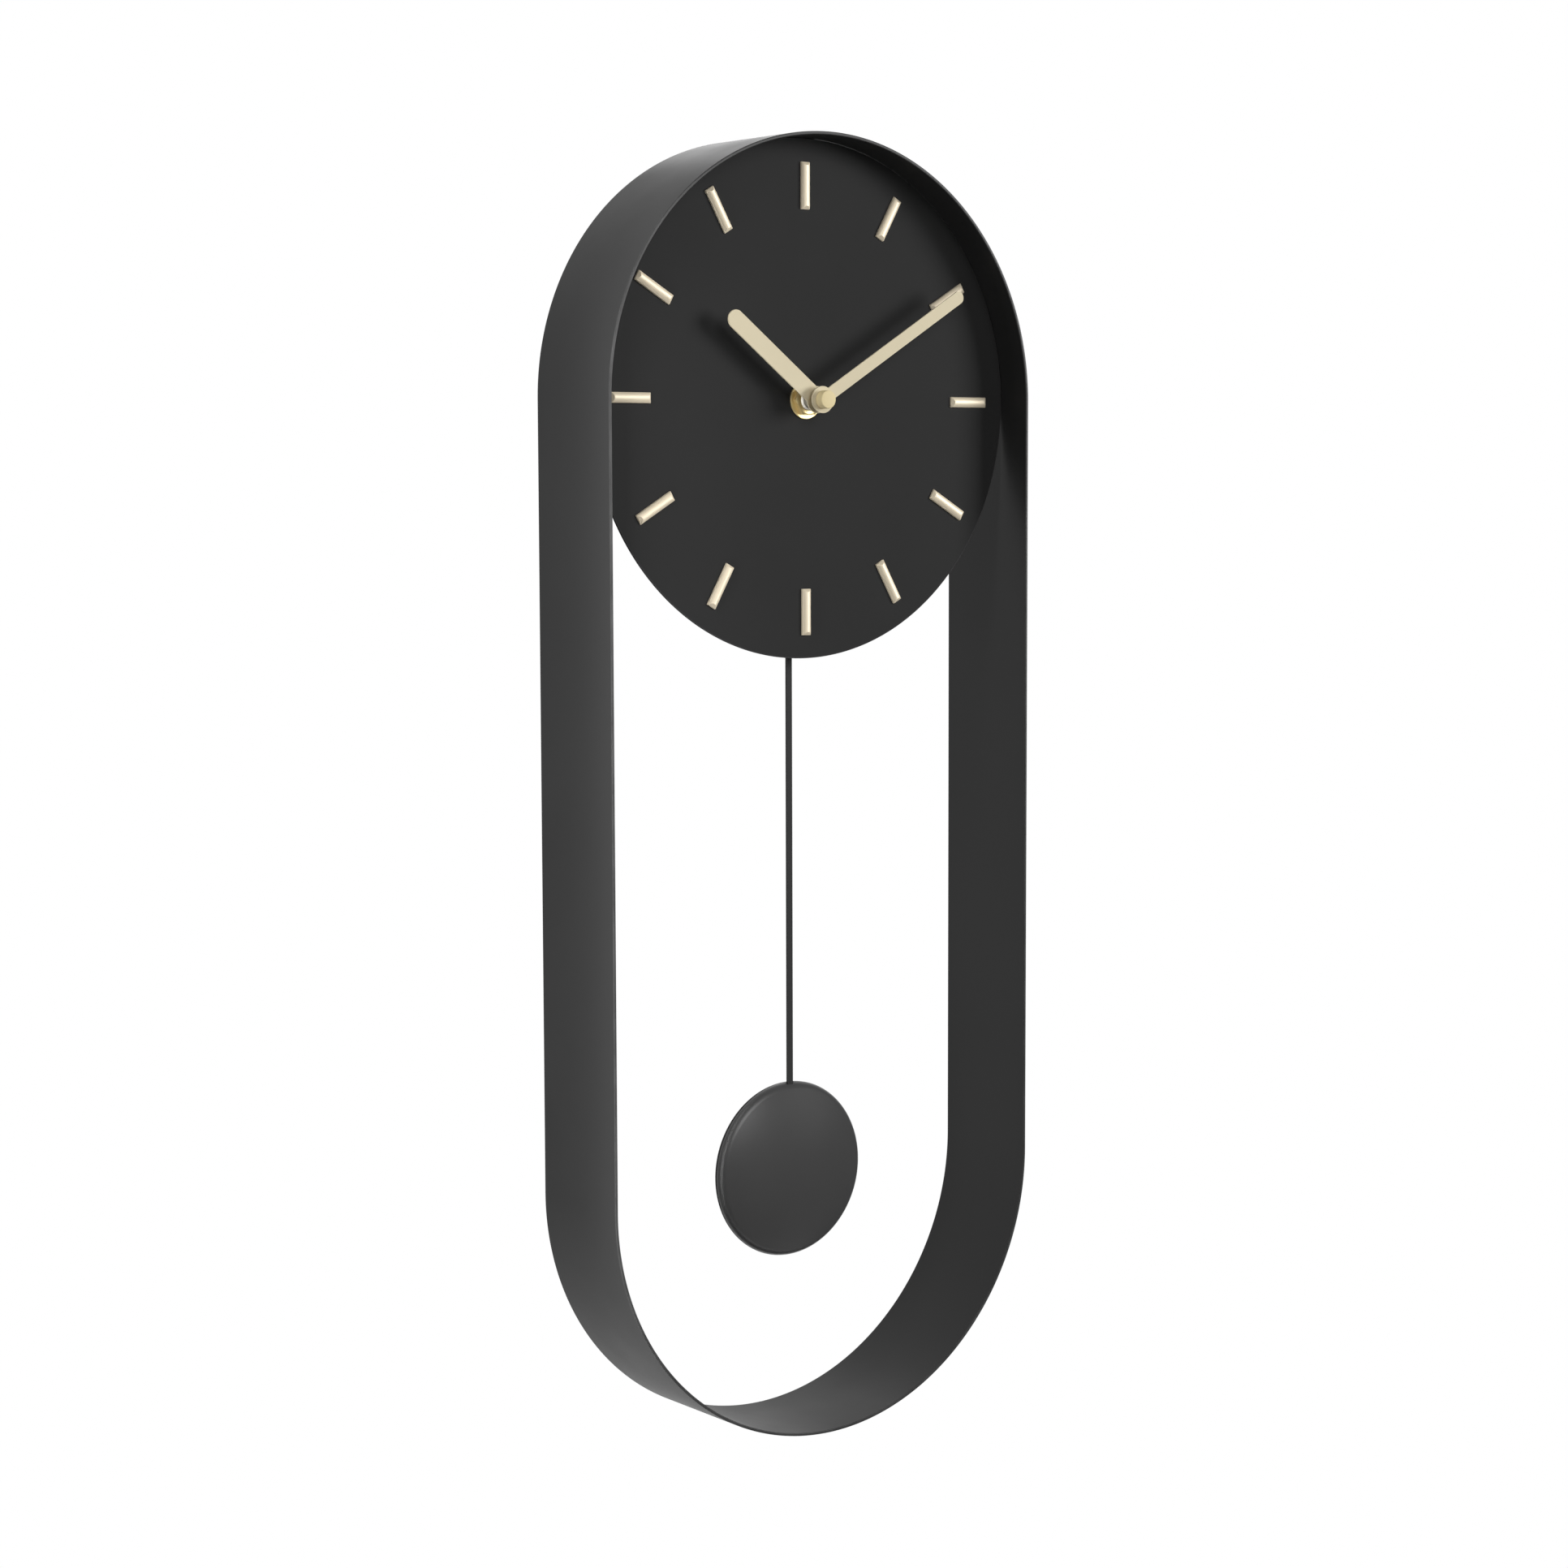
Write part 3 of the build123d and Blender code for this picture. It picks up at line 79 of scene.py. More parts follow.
def add_node(tree, kind, inputs, **settings):
    """Adds a node with its settings; each input is a value to set or an output to link."""
    made = tree.nodes.new(kind)
    for name, value in settings.items():
        setattr(made, name, value)
    for name, value in inputs.items():
        if isinstance(value, bpy.types.NodeSocket):
            tree.links.new(value, made.inputs[name])
        else:
            made.inputs[name].default_value = value
    return made


def finish_with(
    name, colours, patch_mm, grain_mm, depth_mm, roughness, lay=None, rub=None, **constants
):
    """Material with patchy colour and roughness and a fine grain that bumps the surface.

    lay gives the grain its own coordinates, and rub says where the third colour shows.
    """
    made = bpy.data.materials.new(name)
    made.use_nodes = True
    tree = made.node_tree
    shader = tree.nodes["Principled BSDF"]
    place = add_node(tree, "ShaderNodeTexCoord", {}).outputs["Object"]
    patch = {"Vector": place, "Scale": 1000 / patch_mm, "Detail": 3.0, "Roughness": 0.55}
    patches = add_node(tree, "ShaderNodeTexNoise", patch).outputs["Fac"]
    laid = lay(tree, place) if lay else place
    grain = {"Vector": laid, "Scale": 1000 / grain_mm, "Detail": 2.0, "Roughness": 0.5}
    grains = add_node(tree, "ShaderNodeTexNoise", grain).outputs["Fac"]
    # A colour mix has its factor at input 0, its colours at 6 and 7 and its result at output 2.
    tint = {0: patches, 6: linear(colours[0]), 7: linear(colours[1])}
    tinted = add_node(tree, "ShaderNodeMix", tint, data_type="RGBA").outputs[2]
    if rub:
        worn = {0: rub(tree, place), 6: tinted, 7: linear(colours[2])}
        tinted = add_node(tree, "ShaderNodeMix", worn, data_type="RGBA").outputs[2]
    span = {
        "Value": patches,
        "From Min": 0.3,
        "From Max": 0.7,
        "To Min": roughness[0],
        "To Max": roughness[1],
    }
    rough = add_node(tree, "ShaderNodeMapRange", span).outputs["Result"]
    bump = {"Height": grains, "Strength": 1.0, "Distance": depth_mm / 1000}
    normal = add_node(tree, "ShaderNodeBump", bump).outputs["Normal"]
    tree.links.new(tinted, shader.inputs["Base Color"])
    tree.links.new(rough, shader.inputs["Roughness"])
    tree.links.new(normal, shader.inputs["Normal"])
    for socket, value in constants.items():
        shader.inputs[socket.replace("_", " ")].default_value = value
    return made


def only(geom, kind):
    """What an operator returned of one kind, vertices or edges."""
    return [item for item in geom if isinstance(item, kind)]


def round_off(bm, geom, radius, segments, affect="EDGES", clamp=False):
    """Rounds edges, or with VERTICES the corners of a flat outline."""
    bmesh.ops.bevel(
        bm,
        geom=geom,
        affect=affect,
        offset=radius,
        segments=segments,
        profile=0.5,
        clamp_overlap=clamp,
        material=-1,
    )


def add_piece(bm, name, finish, body, slot, *replaced, outward=True):
    """Makes a bmesh in millimetres a piece that rides on a body and stands for its CAD nodes.

    A copy of a CAD node or a skin with a wall has its normals right and is not turned outward.
    """
    bmesh.ops.remove_doubles(bm, verts=bm.verts, dist=1e-4)
    if outward:
        bmesh.ops.recalc_face_normals(bm, faces=bm.faces)
    bmesh.ops.scale(bm, vec=(0.001, 0.001, 0.001), verts=bm.verts)
    mesh = bpy.data.meshes.new(name)
    bm.to_mesh(mesh)
    bm.free()
    mesh.shade_smooth()
    mesh.set_sharp_from_angle(angle=crease_angle)
    mesh.materials.append(finish)
    piece = bpy.data.objects.new(name, mesh)
    bpy.context.scene.collection.objects.link(piece)
    even = piece.modifiers.new("even_normals", "WEIGHTED_NORMAL")
    even.keep_sharp = True
    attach(piece, body)
    if replaced:
        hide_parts(*replaced)
    return piece


def edge_wear_and_sheen(tree, place):
    """Factor for wear and a painted highlight on the band's front and back edges, broken up along
    them.
    """
    depth = add_node(tree, "ShaderNodeSeparateXYZ", {0: place}).outputs["Y"]
    middle = (band_low.y + band_high.y) / 2000
    half = (band_high.y - band_low.y) / 2000
    centred = {0: depth, 1: middle}
    off = add_node(tree, "ShaderNodeMath", centred, operation="SUBTRACT").outputs[0]
    far = add_node(tree, "ShaderNodeMath", {0: off}, operation="ABSOLUTE").outputs[0]
    ramp = {
        "Value": far,
        "From Min": half - wear_and_sheen_mm / 1000,
        "From Max": half,
        "To Min": 0.0,
        "To Max": wear_and_sheen_share,
    }
    edge = add_node(tree, "ShaderNodeMapRange", ramp).outputs["Result"]
    noise = {"Vector": place, "Scale": edge_breaks_per_metre}
    scuff = add_node(tree, "ShaderNodeTexNoise", noise).outputs["Fac"]
    return add_node(tree, "ShaderNodeMath", {0: edge, 1: scuff}, operation="MULTIPLY").outputs[0]


# Powder coat: cured polyester powder. It is matt and very slightly uneven, with a fine orange peel
# that breaks up reflections, drawn at 1.4 mm, coarser than life, so that it shows. The coat is thin
# and worn on the cut edges, and the lighter grey along them is also a painted highlight of the
# edges.
band_coat = finish_with(
    "powder_coat_band",
    ("242424", "282828", "585858"),
    patch_mm=45,
    grain_mm=1.4,
    depth_mm=0.003,
    roughness=(0.38, 0.46),
    # The third grey is wear and a painted highlight along the cut edges.
    rub=edge_wear_and_sheen,
    Specular_IOR_Level=0.16,
)
bm = bmesh.new()
section = ((0, band_low.y), (0, band_high.y), (band_wall, band_high.y), (band_wall, band_low.y))
corners = [bm.verts.new((bend_radius - inset, y, dial_z)) for inset, y in section]
bm.faces.new(corners)
round_off(bm, corners, band_edge, 4, affect="VERTICES")
strip = bm.edges[:]
bmesh.ops.delete(bm, geom=bm.faces[:], context="FACES_ONLY")
for centre_z, run in ((dial_z, bob_z - dial_z), (bob_z, dial_z - bob_z)):
    bend = {"cent": (0, 0, centre_z), "axis": (0, -1, 0), "angle": math.pi, "steps": band_steps}
    bent = bmesh.ops.spin(bm, geom=strip, **bend)["geom_last"]
    straight = bmesh.ops.extrude_edge_only(bm, edges=only(bent, bmesh.types.BMEdge))["geom"]
    points = only(straight, bmesh.types.BMVert)
    bmesh.ops.translate(bm, vec=(0, 0, run), verts=points)
    strip = [e for e in only(straight, bmesh.types.BMEdge) if set(e.verts) <= set(points)]
add_piece(bm, "frame_strip", band_coat, "clock_body", "frame_steel", "frame_band")

# Hanger tab: steel plate with a keyhole, welded into the top of the band against the wall plane and
# coated with it. Its edges are laser-cut and broken by hand.
hanger_edge = 0.15


def refined(node, edge, sharp=35):
    """Copy of a CAD node with its flat faces joined and the edges past an angle rounded."""
    bm = bmesh.new()
    bm.from_mesh(cad[node].data)
    bmesh.ops.scale(bm, vec=(1000, 1000, 1000), verts=bm.verts)
    bmesh.ops.remove_doubles(bm, verts=bm.verts, dist=1e-3)
    bmesh.ops.dissolve_limit(bm, angle_limit=math.radians(1), verts=bm.verts, edges=bm.edges)
    crisp = [e for e in bm.edges if e.is_manifold and e.calc_face_angle() > math.radians(sharp)]
    round_off(bm, crisp, edge, 2, clamp=True)
    return bm


bm = refined("hanger_tab", hanger_edge)
add_piece(bm, "hanger_plate", band_coat, "clock_body", "frame_steel", "hanger_tab", outward=False)

# Dial: a round of steel sheet with three folded tabs behind it, welded to the band. It has the same
# coat in a flatter black, with a highlight painted in a lighter grey on its rounded rim.
dial_low, dial_high = box_mm("dial_plate")
dial_front = dial_low.y
dial_wall = 1.0
dial_back = dial_front + dial_wall
dial_bore = 4.05
dial_edge = 0.35
dial_steps = 256
rim_highlight_mm = 0.5
tab_size = (12.0, 8.4, 1.0)
tab_sunk = 0.4
tab_inset = 0.7
tab_edge = 0.2
tab_angles = (-70, 0, 70)


def about_hands(tree, place):
    """Coordinates that start from the axis of the hands."""
    seat = {"Vector": place, "Location": (0, 0, -dial_z / 1000)}
    return add_node(tree, "ShaderNodeMapping", seat).outputs["Vector"]


def from_hands(tree, place):
    """Distance of a point from the axis of the hands."""
    flat = {"Vector": about_hands(tree, place), "Scale": (1, 0, 1)}
    aside = {0: add_node(tree, "ShaderNodeMapping", flat).outputs["Vector"]}
    return add_node(tree, "ShaderNodeVectorMath", aside, operation="LENGTH").outputs["Value"]


def rim_highlight(tree, place):
    """Factor that rises to 1 on the rounded rim of the dial, where a highlight is painted."""
    rim = dial_high.x / 1000
    ramp = {"Value": from_hands(tree, place), "From Min": rim - rim_highlight_mm / 1000, "From Max": rim}
    return add_node(tree, "ShaderNodeMapRange", ramp).outputs["Result"]


def turned(outline, middle_z, steps, edge):
    """Closed outline of (radius, y) points with rounded corners, turned about the Y axis."""
    bm = bmesh.new()
    points = [bm.verts.new((radius, y, middle_z)) for radius, y in outline]
    bm.faces.new(points)
    corners = [point for point in points if point.co.x > 0]
    round_off(bm, corners, edge, 3, affect="VERTICES")
    bmesh.ops.delete(bm, geom=bm.faces[:], context="FACES_ONLY")
    rim = bm.verts[:] + bm.edges[:]
    turn = {"cent": (0, 0, middle_z), "axis": (0, 1, 0), "angle": 2 * math.pi, "steps": steps}
    bmesh.ops.spin(bm, geom=rim, use_merge=True, **turn)
    return bm


# The dial's powder is flatter than the band's: it scatters nearly all the light that it returns.
dial_coat = finish_with(
    "powder_coat_dial",
    ("323232", "363636", "4c4c4c"),
    patch_mm=60,
    grain_mm=1.2,
    depth_mm=0.003,
    roughness=(0.56, 0.66),
    # The third grey is a highlight painted along the rim.
    rub=rim_highlight,
    Specular_IOR_Level=0.0,
)
sheet = (
    (dial_bore, dial_front),
    (dial_high.x, dial_front),
    (dial_high.x, dial_back),
    (dial_bore, dial_back),
)
bm = turned(sheet, dial_z, dial_steps, dial_edge)
tab_spot = (0, dial_back + tab_size[1] / 2 - tab_sunk, dial_high.x - tab_inset)
for angle in tab_angles:
    fold = Matrix.Translation((0, 0, dial_z)) @ Matrix.Rotation(math.radians(angle), 4, "Y")
    fold = fold @ Matrix.Translation(tab_spot) @ Matrix.Diagonal((*tab_size, 1))
    tab = bmesh.ops.create_cube(bm, size=1, matrix=fold)
    rims = list({edge for vert in tab["verts"] for edge in vert.link_edges})
    round_off(bm, rims, tab_edge, 2)
add_piece(bm, "dial", dial_coat, "clock_body", "dial_steel", "dial_plate")

# Hour markers: twelve half-round bars of drawn aluminium with sloped ends, plated to a pale satin
# champagne and glued to the dial. Fine draw lines run along each bar.
marker_inner = 72.0
marker_length = 17.8
marker_half = 2.0
marker_side = 0.7
marker_height = 1.8
marker_slope = 1.2
marker_edge = 0.18
marker_steps = 16
marker_crease = math.radians(25)
marker_ring = 80.0
line_stretch = 0.03


def along_bars(tree, place):
    """Coordinates that are stretched along the bars, which point at the axis of the hands."""
    parts = add_node(tree, "ShaderNodeSeparateXYZ", {0: about_hands(tree, place)}).outputs
    sides = {0: parts["X"], 1: parts["Z"]}
    angle = add_node(tree, "ShaderNodeMath", sides, operation="ARCTAN2").outputs[0]
    arc = {0: angle, 1: marker_ring / 1000}
    across = add_node(tree, "ShaderNodeMath", arc, operation="MULTIPLY").outputs[0]
    length = {0: from_hands(tree, place), 1: line_stretch}
    along = add_node(tree, "ShaderNodeMath", length, operation="MULTIPLY").outputs[0]
    joined = {"X": across, "Y": parts["Y"], "Z": along}
    return add_node(tree, "ShaderNodeCombineXYZ", joined).outputs[0]


# Champagne plate: a pale warm satin, whose fine matt grain spreads each highlight along the bar.
# The draw lines are drawn at 0.25 mm, coarser than life, so that they show.
marker_metal = finish_with(
    "champagne_plated_aluminium",
    ("e8dabe", "eee1c8"),
    patch_mm=6,
    grain_mm=0.25,
    depth_mm=0.0001,
    roughness=(0.46, 0.52),
    lay=along_bars,
    Metallic=0.25,
)
crest = marker_height - marker_side
marker_round = (marker_half**2 + crest**2) / (2 * crest)
marker_turn = 2 * math.asin(marker_half / marker_round)
marker_arch = {
    "cent": (0, marker_round - marker_height, 0),
    "axis": (0, 0, 1),
    "angle": marker_turn,
    "steps": marker_steps,
}
for hour in range(1, 13):
    bm = bmesh.new()
    first = bm.verts.new((-marker_half, -marker_side, 0))
    bmesh.ops.spin(bm, geom=[first], **marker_arch)
    arch = sorted(bm.verts, key=lambda vert: vert.co.x)
    feet = [bm.verts.new((side * marker_half, 0, 0)) for side in (1, -1)]
    bm.faces.new(arch)
    bm.faces.new([arch[0], arch[-1]] + feet)
    grown = bmesh.ops.extrude_face_region(bm, geom=bm.faces[:])["geom"]
    far_end = only(grown, bmesh.types.BMVert)
    bmesh.ops.translate(bm, vec=(0, 0, marker_length), verts=far_end)
    for vert in bm.verts:
        lean = marker_slope * max(0, -vert.co.y - marker_side) / crest
        vert.co.z += lean if vert.co.z < marker_length / 2 else -lean
    bmesh.ops.recalc_face_normals(bm, faces=bm.faces)
    raised = [e for e in bm.edges if e.verts[0].co.y + e.verts[1].co.y < -marker_side]
    crisp = [e for e in raised if e.calc_face_angle() > marker_crease]
    round_off(bm, crisp, marker_edge, 3, clamp=True)
    bmesh.ops.translate(bm, vec=(0, 0, marker_inner), verts=bm.verts)
    to_hour = Matrix.Rotation(math.radians(30 * hour), 3, "Y")
    bmesh.ops.rotate(bm, cent=(0, 0, 0), matrix=to_hour, verts=bm.verts)
    bmesh.ops.translate(bm, vec=(0, dial_front, dial_z), verts=bm.verts)
    bar, node = f"marker_bar_{hour:02d}", f"hour_marker_{hour:02d}"
    add_piece(bm, bar, marker_metal, "clock_body", "marker_metal", node)

# Washer and hexagonal nut: turned and polished yellow brass. The nut is screwed down on the bush
# and clamps the movement to the dial.
washer_low, washer_high = box_mm("dial_washer")
washer_bore = 4.05
washer_edge = 0.18
nut_edge = 0.12
small_steps = 96


def turning_lines(tree, place):
    """Coordinates that change only with the distance from the axis of the hands."""
    return add_node(tree, "ShaderNodeCombineXYZ", {"X": from_hands(tree, place)}).outputs[0]


# Polished brass: warm yellow with soft bright highlights and faint turning marks round the axis. A
# clear lacquer over it takes away half of the mirror.
polished_brass = finish_with(
    "polished_brass",
    ("f0d590", "f6e2aa"),
    patch_mm=3,
    grain_mm=0.3,
    depth_mm=0.0003,
    roughness=(0.34, 0.42),
    lay=turning_lines,
    Metallic=0.5,
)
ring = (
    (washer_bore, washer_low.y),
    (washer_high.x, washer_low.y),
    (washer_high.x, washer_high.y),
    (washer_bore, washer_high.y),
)
bm = turned(ring, dial_z, small_steps, washer_edge)
add_piece(bm, "brass_washer", polished_brass, "clock_body", "brass", "dial_washer")
bm = refined("bush_nut", nut_edge, sharp=20)
add_piece(bm, "brass_nut", polished_brass, "clock_body", "brass", "bush_nut", outward=False)

# Threaded bush: nickel-plated brass tube whose flange is moulded into the case. Its last turns of
# thread stand in front of the nut.
bush_low, bush_high = box_mm("threaded_bush")
bush_bore = 2.6
bush_radius = 4.0
bush_flange_wall = 0.8
bush_edge = 0.06
lead_radius = 3.6
lead_length = 0.1
thread_pitch = 0.75
thread_depth = 0.3
thread_crests = 6
# Nickel plate: pale grey and bright, faintly warm from the brass under it, with turning marks.
nickel = finish_with(
    "nickel_plate",
    ("d2cec4", "dedad0"),
    patch_mm=3,
    grain_mm=0.3,
    depth_mm=0.0004,
    roughness=(0.32, 0.4),
    lay=turning_lines,
    Metallic=0.7,
)
outline = [(bush_bore, bush_low.y), (lead_radius, bush_low.y)]
thread_y = bush_low.y + lead_length
for turn in range(thread_crests):
    outline += [
        (bush_radius - thread_depth, thread_y),
        (bush_radius, thread_y + thread_pitch / 2),
    ]
    thread_y += thread_pitch
outline += [
    (bush_radius - thread_depth, thread_y),
    (bush_radius, thread_y + thread_depth),
    (bush_radius, bush_high.y - bush_flange_wall),
    (bush_high.x, bush_high.y - bush_flange_wall),
    (bush_high.x, bush_high.y),
    (bush_bore, bush_high.y),
]
bm = turned(outline, dial_z, small_steps, bush_edge)
add_piece(bm, "bush_tube", nickel, "clock_body", "brass", "threaded_bush")

# Hands: stamped from thin aluminium sheet, each with a round eye and a round tip, and lacquered in
# flat champagne over a faint brushing along their length. Each is pressed on by a brass collet.
hand_eye = 5.1
hand_edge = 0.1
collet_edge = 0.15
collet_steps = 64
eye_steps = 56
tip_steps = 24
bore_steps = 40
blank_crease = math.radians(60)


def stick_blank(length, width, eye, bore, wall, edge):
    """Flat blank with its eye at the origin and a round tip along +Z; its front lies at y = 0."""
    bm = bmesh.new()
    half = width / 2
    neck = math.sqrt(eye**2 - half**2)
    open_turn = 2 * math.asin(half / eye)
    arcs = (
        ((half, 0, neck), (0, 0, 0), 2 * math.pi - open_turn, eye_steps),
        ((-half, 0, length - half), (0, 0, length - half), math.pi, tip_steps),
    )
    ends = []
    for start, centre, angle, steps in arcs:
        first = bm.verts.new(start)
        arc = {"cent": centre, "axis": (0, 1, 0), "angle": angle, "steps": steps}
        bent = bmesh.ops.spin(bm, geom=[first], **arc)
        ends += [first] + only(bent["geom_last"], bmesh.types.BMVert)
    bm.edges.new((ends[1], ends[2]))
    bm.edges.new((ends[3], ends[0]))
    upright = Matrix.Rotation(math.pi / 2, 4, "X")
    bmesh.ops.create_circle(bm, radius=bore, segments=bore_steps, matrix=upright)
    bmesh.ops.triangle_fill(bm, use_beauty=True, edges=bm.edges[:], normal=(0, -1, 0))
    grown = bmesh.ops.extrude_face_region(bm, geom=bm.faces[:])["geom"]
    bmesh.ops.translate(bm, vec=(0, wall, 0), verts=only(grown, bmesh.types.BMVert))
    bmesh.ops.recalc_face_normals(bm, faces=bm.faces)
    crisp = [e for e in bm.edges if e.calc_face_angle() > blank_crease]
    round_off(bm, crisp, edge, 2, clamp=True)
    return bm


def along_hand(angle):
    """Function that gives the grain of a hand coordinates turned and stretched along it."""

    def lay(tree, place):
        turn = {"Vector": about_hands(tree, place), "Rotation": (0, -math.radians(angle), 0)}
        straight = add_node(tree, "ShaderNodeMapping", turn).outputs["Vector"]
        stretch = {"Vector": straight, "Scale": (1, 1, line_stretch)}
        return add_node(tree, "ShaderNodeMapping", stretch).outputs["Vector"]

    return lay


for name, length, width, bore, angle in (
    ("hour", 51.8, 7.2, 2.57, -52.5),
    ("minute", 80.5, 4.9, 1.77, 59.0),
):
    # Champagne lacquer on brushed aluminium: flat and warm, with hair lines that only a low light
    # shows. They are drawn at 0.25 mm, coarser than life, so that they show.
    hand_metal = finish_with(
        f"champagne_lacquer_{name}",
        ("d4c9ac", "dacfb3"),
        patch_mm=14,
        grain_mm=0.25,
        depth_mm=0.0005,
        roughness=(0.5, 0.6),
        lay=along_hand(angle),
        Specular_IOR_Level=0.05,
    )
    low, high = box_mm(f"{name}_hand")
    bm = stick_blank(length, width, hand_eye, bore, high.y - low.y, hand_edge)
    to_time = Matrix.Rotation(math.radians(angle), 3, "Y")
    bmesh.ops.rotate(bm, cent=(0, 0, 0), matrix=to_time, verts=bm.verts)
    bmesh.ops.translate(bm, vec=(0, low.y, dial_z), verts=bm.verts)
    add_piece(bm, f"{name}_stick", hand_metal, f"{name}_work", "hand_metal", f"{name}_hand")
    low, high = box_mm(f"{name}_collet")
    sleeve = ((bore, low.y), (high.x, low.y), (high.x, high.y), (bore, high.y))
    bm = turned(sleeve, dial_z, collet_steps, collet_edge)
    add_piece(bm, f"{name}_hub", polished_brass, f"{name}_work", "brass", f"{name}_collet")

# End cap: a blind button turned from brass, pressed over the tip of the minute shaft. It is
# lacquered like the hands, a little yellower, with a rounded rim.
cap_low, cap_high = box_mm("end_cap")
cap_bore = 1.77
cap_floor = 1.1
cap_edge = 0.35
# Lacquered brass, turned: its face has faint rings and a soft warm shine.
cap_metal = finish_with(
    "lacquered_cap_brass",
    ("dccb9c", "e2d2a6"),
    patch_mm=4,
    grain_mm=0.3,
    depth_mm=0.0005,
    roughness=(0.44, 0.5),
    lay=turning_lines,
    Specular_IOR_Level=0.1,
)
button = (
    (0, cap_low.y),
    (cap_high.x, cap_low.y),
    (cap_high.x, cap_high.y),
    (cap_bore, cap_high.y),
    (cap_bore, cap_low.y + cap_floor),
    (0, cap_low.y + cap_floor),
)
bm = turned(button, dial_z, small_steps, cap_edge)
add_piece(bm, "cap_button", cap_metal, "minute_work", "brass", "end_cap")

# Movement case: two moulded ABS shells with a spark-eroded grain, clipped at the seam by four
# latches, and a rubber gasket between the front shell and the dial.
case_edge = 0.2
# Black ABS: slightly grey where the grain catches light, never quite matt.
case_abs = finish_with(
    "black_abs",
    ("1b1b1c", "212122"),
    patch_mm=20,
    grain_mm=0.6,
    depth_mm=0.01,
    roughness=(0.46, 0.58),
    Specular_IOR_Level=0.4,
)
# Moulded rubber: dull and dark, with a dusty bloom in patches.
gasket_rubber = finish_with(
    "gasket_rubber",
    ("161616", "232323"),
    patch_mm=8,
    grain_mm=0.5,
    depth_mm=0.01,
    roughness=(0.7, 0.82),
    Specular_IOR_Level=0.2,
)
for node, piece, finish, slot in (
    ("case_front", "front_shell", case_abs, "case_plastic"),
    ("case_back", "back_shell", case_abs, "case_plastic"),
    ("dial_gasket", "dial_seal", gasket_rubber, "rubber"),
):
    bm = refined(node, case_edge)
    add_piece(bm, piece, finish, "clock_body", slot, node, outward=False)

# Polarity signs: raised bars, moulded with the back of the case below the two ends of the cell bay.
# The cross is at the end of the nub.
case_back_y = box_mm("case_back")[1].y
cell_low, cell_high = box_mm("battery_cell")
sign_length = 3.0
sign_stroke = 0.7
sign_depth = 0.4
sign_edge = 0.1
sign_drop = 4.0
sign_inset = 4.0
sign_foot = case_back_y - sign_edge
sign_z = cell_low.z - sign_drop
tip = sign_length / 2
side = sign_stroke / 2
minus = ((-tip, -side), (tip, -side), (tip, side), (-tip, side))
plus = (
    (-tip, -side),
    (-side, -side),
    (-side, -tip),
    (side, -tip),
    (side, -side),
    (tip, -side),
    (tip, side),
    (side, side),
    (side, tip),
    (-side, tip),
    (-side, side),
    (-tip, side),
)
bm = bmesh.new()
for x, sign in ((cell_high.x - sign_inset, plus), (cell_low.x + sign_inset, minus)):
    corners = [bm.verts.new((x + across, sign_foot, sign_z + up)) for across, up in sign]
    grown = bmesh.ops.extrude_face_region(bm, geom=[bm.faces.new(corners)])["geom"]
    bmesh.ops.translate(bm, vec=(0, sign_depth, 0), verts=only(grown, bmesh.types.BMVert))
bmesh.ops.recalc_face_normals(bm, faces=bm.faces)
round_off(bm, bm.edges[:], sign_edge, 2)
add_piece(bm, "polarity_signs", case_abs, "clock_body", "case_plastic")

# Setting knob: a fluted thumb knob for setting the hands, moulded in the same black ABS. It is
# pressed on the setting arbor where that comes out behind the case.
knob_edge = 0.15
bm = refined("setting_knob", knob_edge)
add_piece(
    bm, "thumb_knob", case_abs, "setting_work", "case_plastic", "setting_knob", outward=False
)

# Cell and contacts: an AA cell in a plain shrink sleeve, between two plated spring-steel plates at
# the ends of the bay. Nothing is printed on the sleeve, and the ends of the can are bare.
cell_edge = 0.15
contact_edge = 0.08
bare_radius = 6.2
# Plated spring steel: cool and bright, a little uneven from the bath.
spring_steel = finish_with(
    "plated_spring_steel",
    ("b9b8b4", "cbcac6"),
    patch_mm=4,
    grain_mm=0.5,
    depth_mm=0.002,
    roughness=(0.22, 0.34),
    Metallic=1.0,
)
# Sleeve film: smooth dark plastic, shrunk tight, with a broad soft shine.
cell_sleeve = finish_with(
    "cell_sleeve_film",
    ("23272b", "2b3035"),
    patch_mm=12,
    grain_mm=1.0,
    depth_mm=0.002,
    roughness=(0.26, 0.34),
)
bm = refined("battery_cell", cell_edge, sharp=30)
cell = add_piece(
    bm, "aa_cell", cell_sleeve, "clock_body", "cell_sleeve", "battery_cell", outward=False
)
cell.data.materials.append(spring_steel)
cell_axis = (cell_low + cell_high) / 2
for face in cell.data.polygons:
    off_axis = 1000 * face.center - cell_axis
    if math.hypot(off_axis.y, off_axis.z) < bare_radius:
        face.material_index = 1
for node, piece in (
    ("battery_contact_plus", "plus_plate"),
    ("battery_contact_minus", "minus_plate"),
):
    bm = refined(node, contact_edge)
    add_piece(bm, piece, spring_steel, "clock_body", "steel", node, outward=False)

# Swing lever: a moulded acetal arm on the pendulum pin, with the hook below the case that carries
# the rod. It is black like the case.
lever_edge = 0.12
# Black acetal: smooth from the mould, with a waxy shine that the case lacks.
black_acetal = finish_with(
    "black_acetal",
    ("202021", "272728"),
    patch_mm=10,
    grain_mm=0.6,
    depth_mm=0.004,
    roughness=(0.36, 0.46),
    Specular_IOR_Level=0.4,
)
bm = refined("swing_lever", lever_edge)
add_piece(bm, "hook_arm", black_acetal, "pendulum", "plate_plastic", "swing_lever", outward=False)

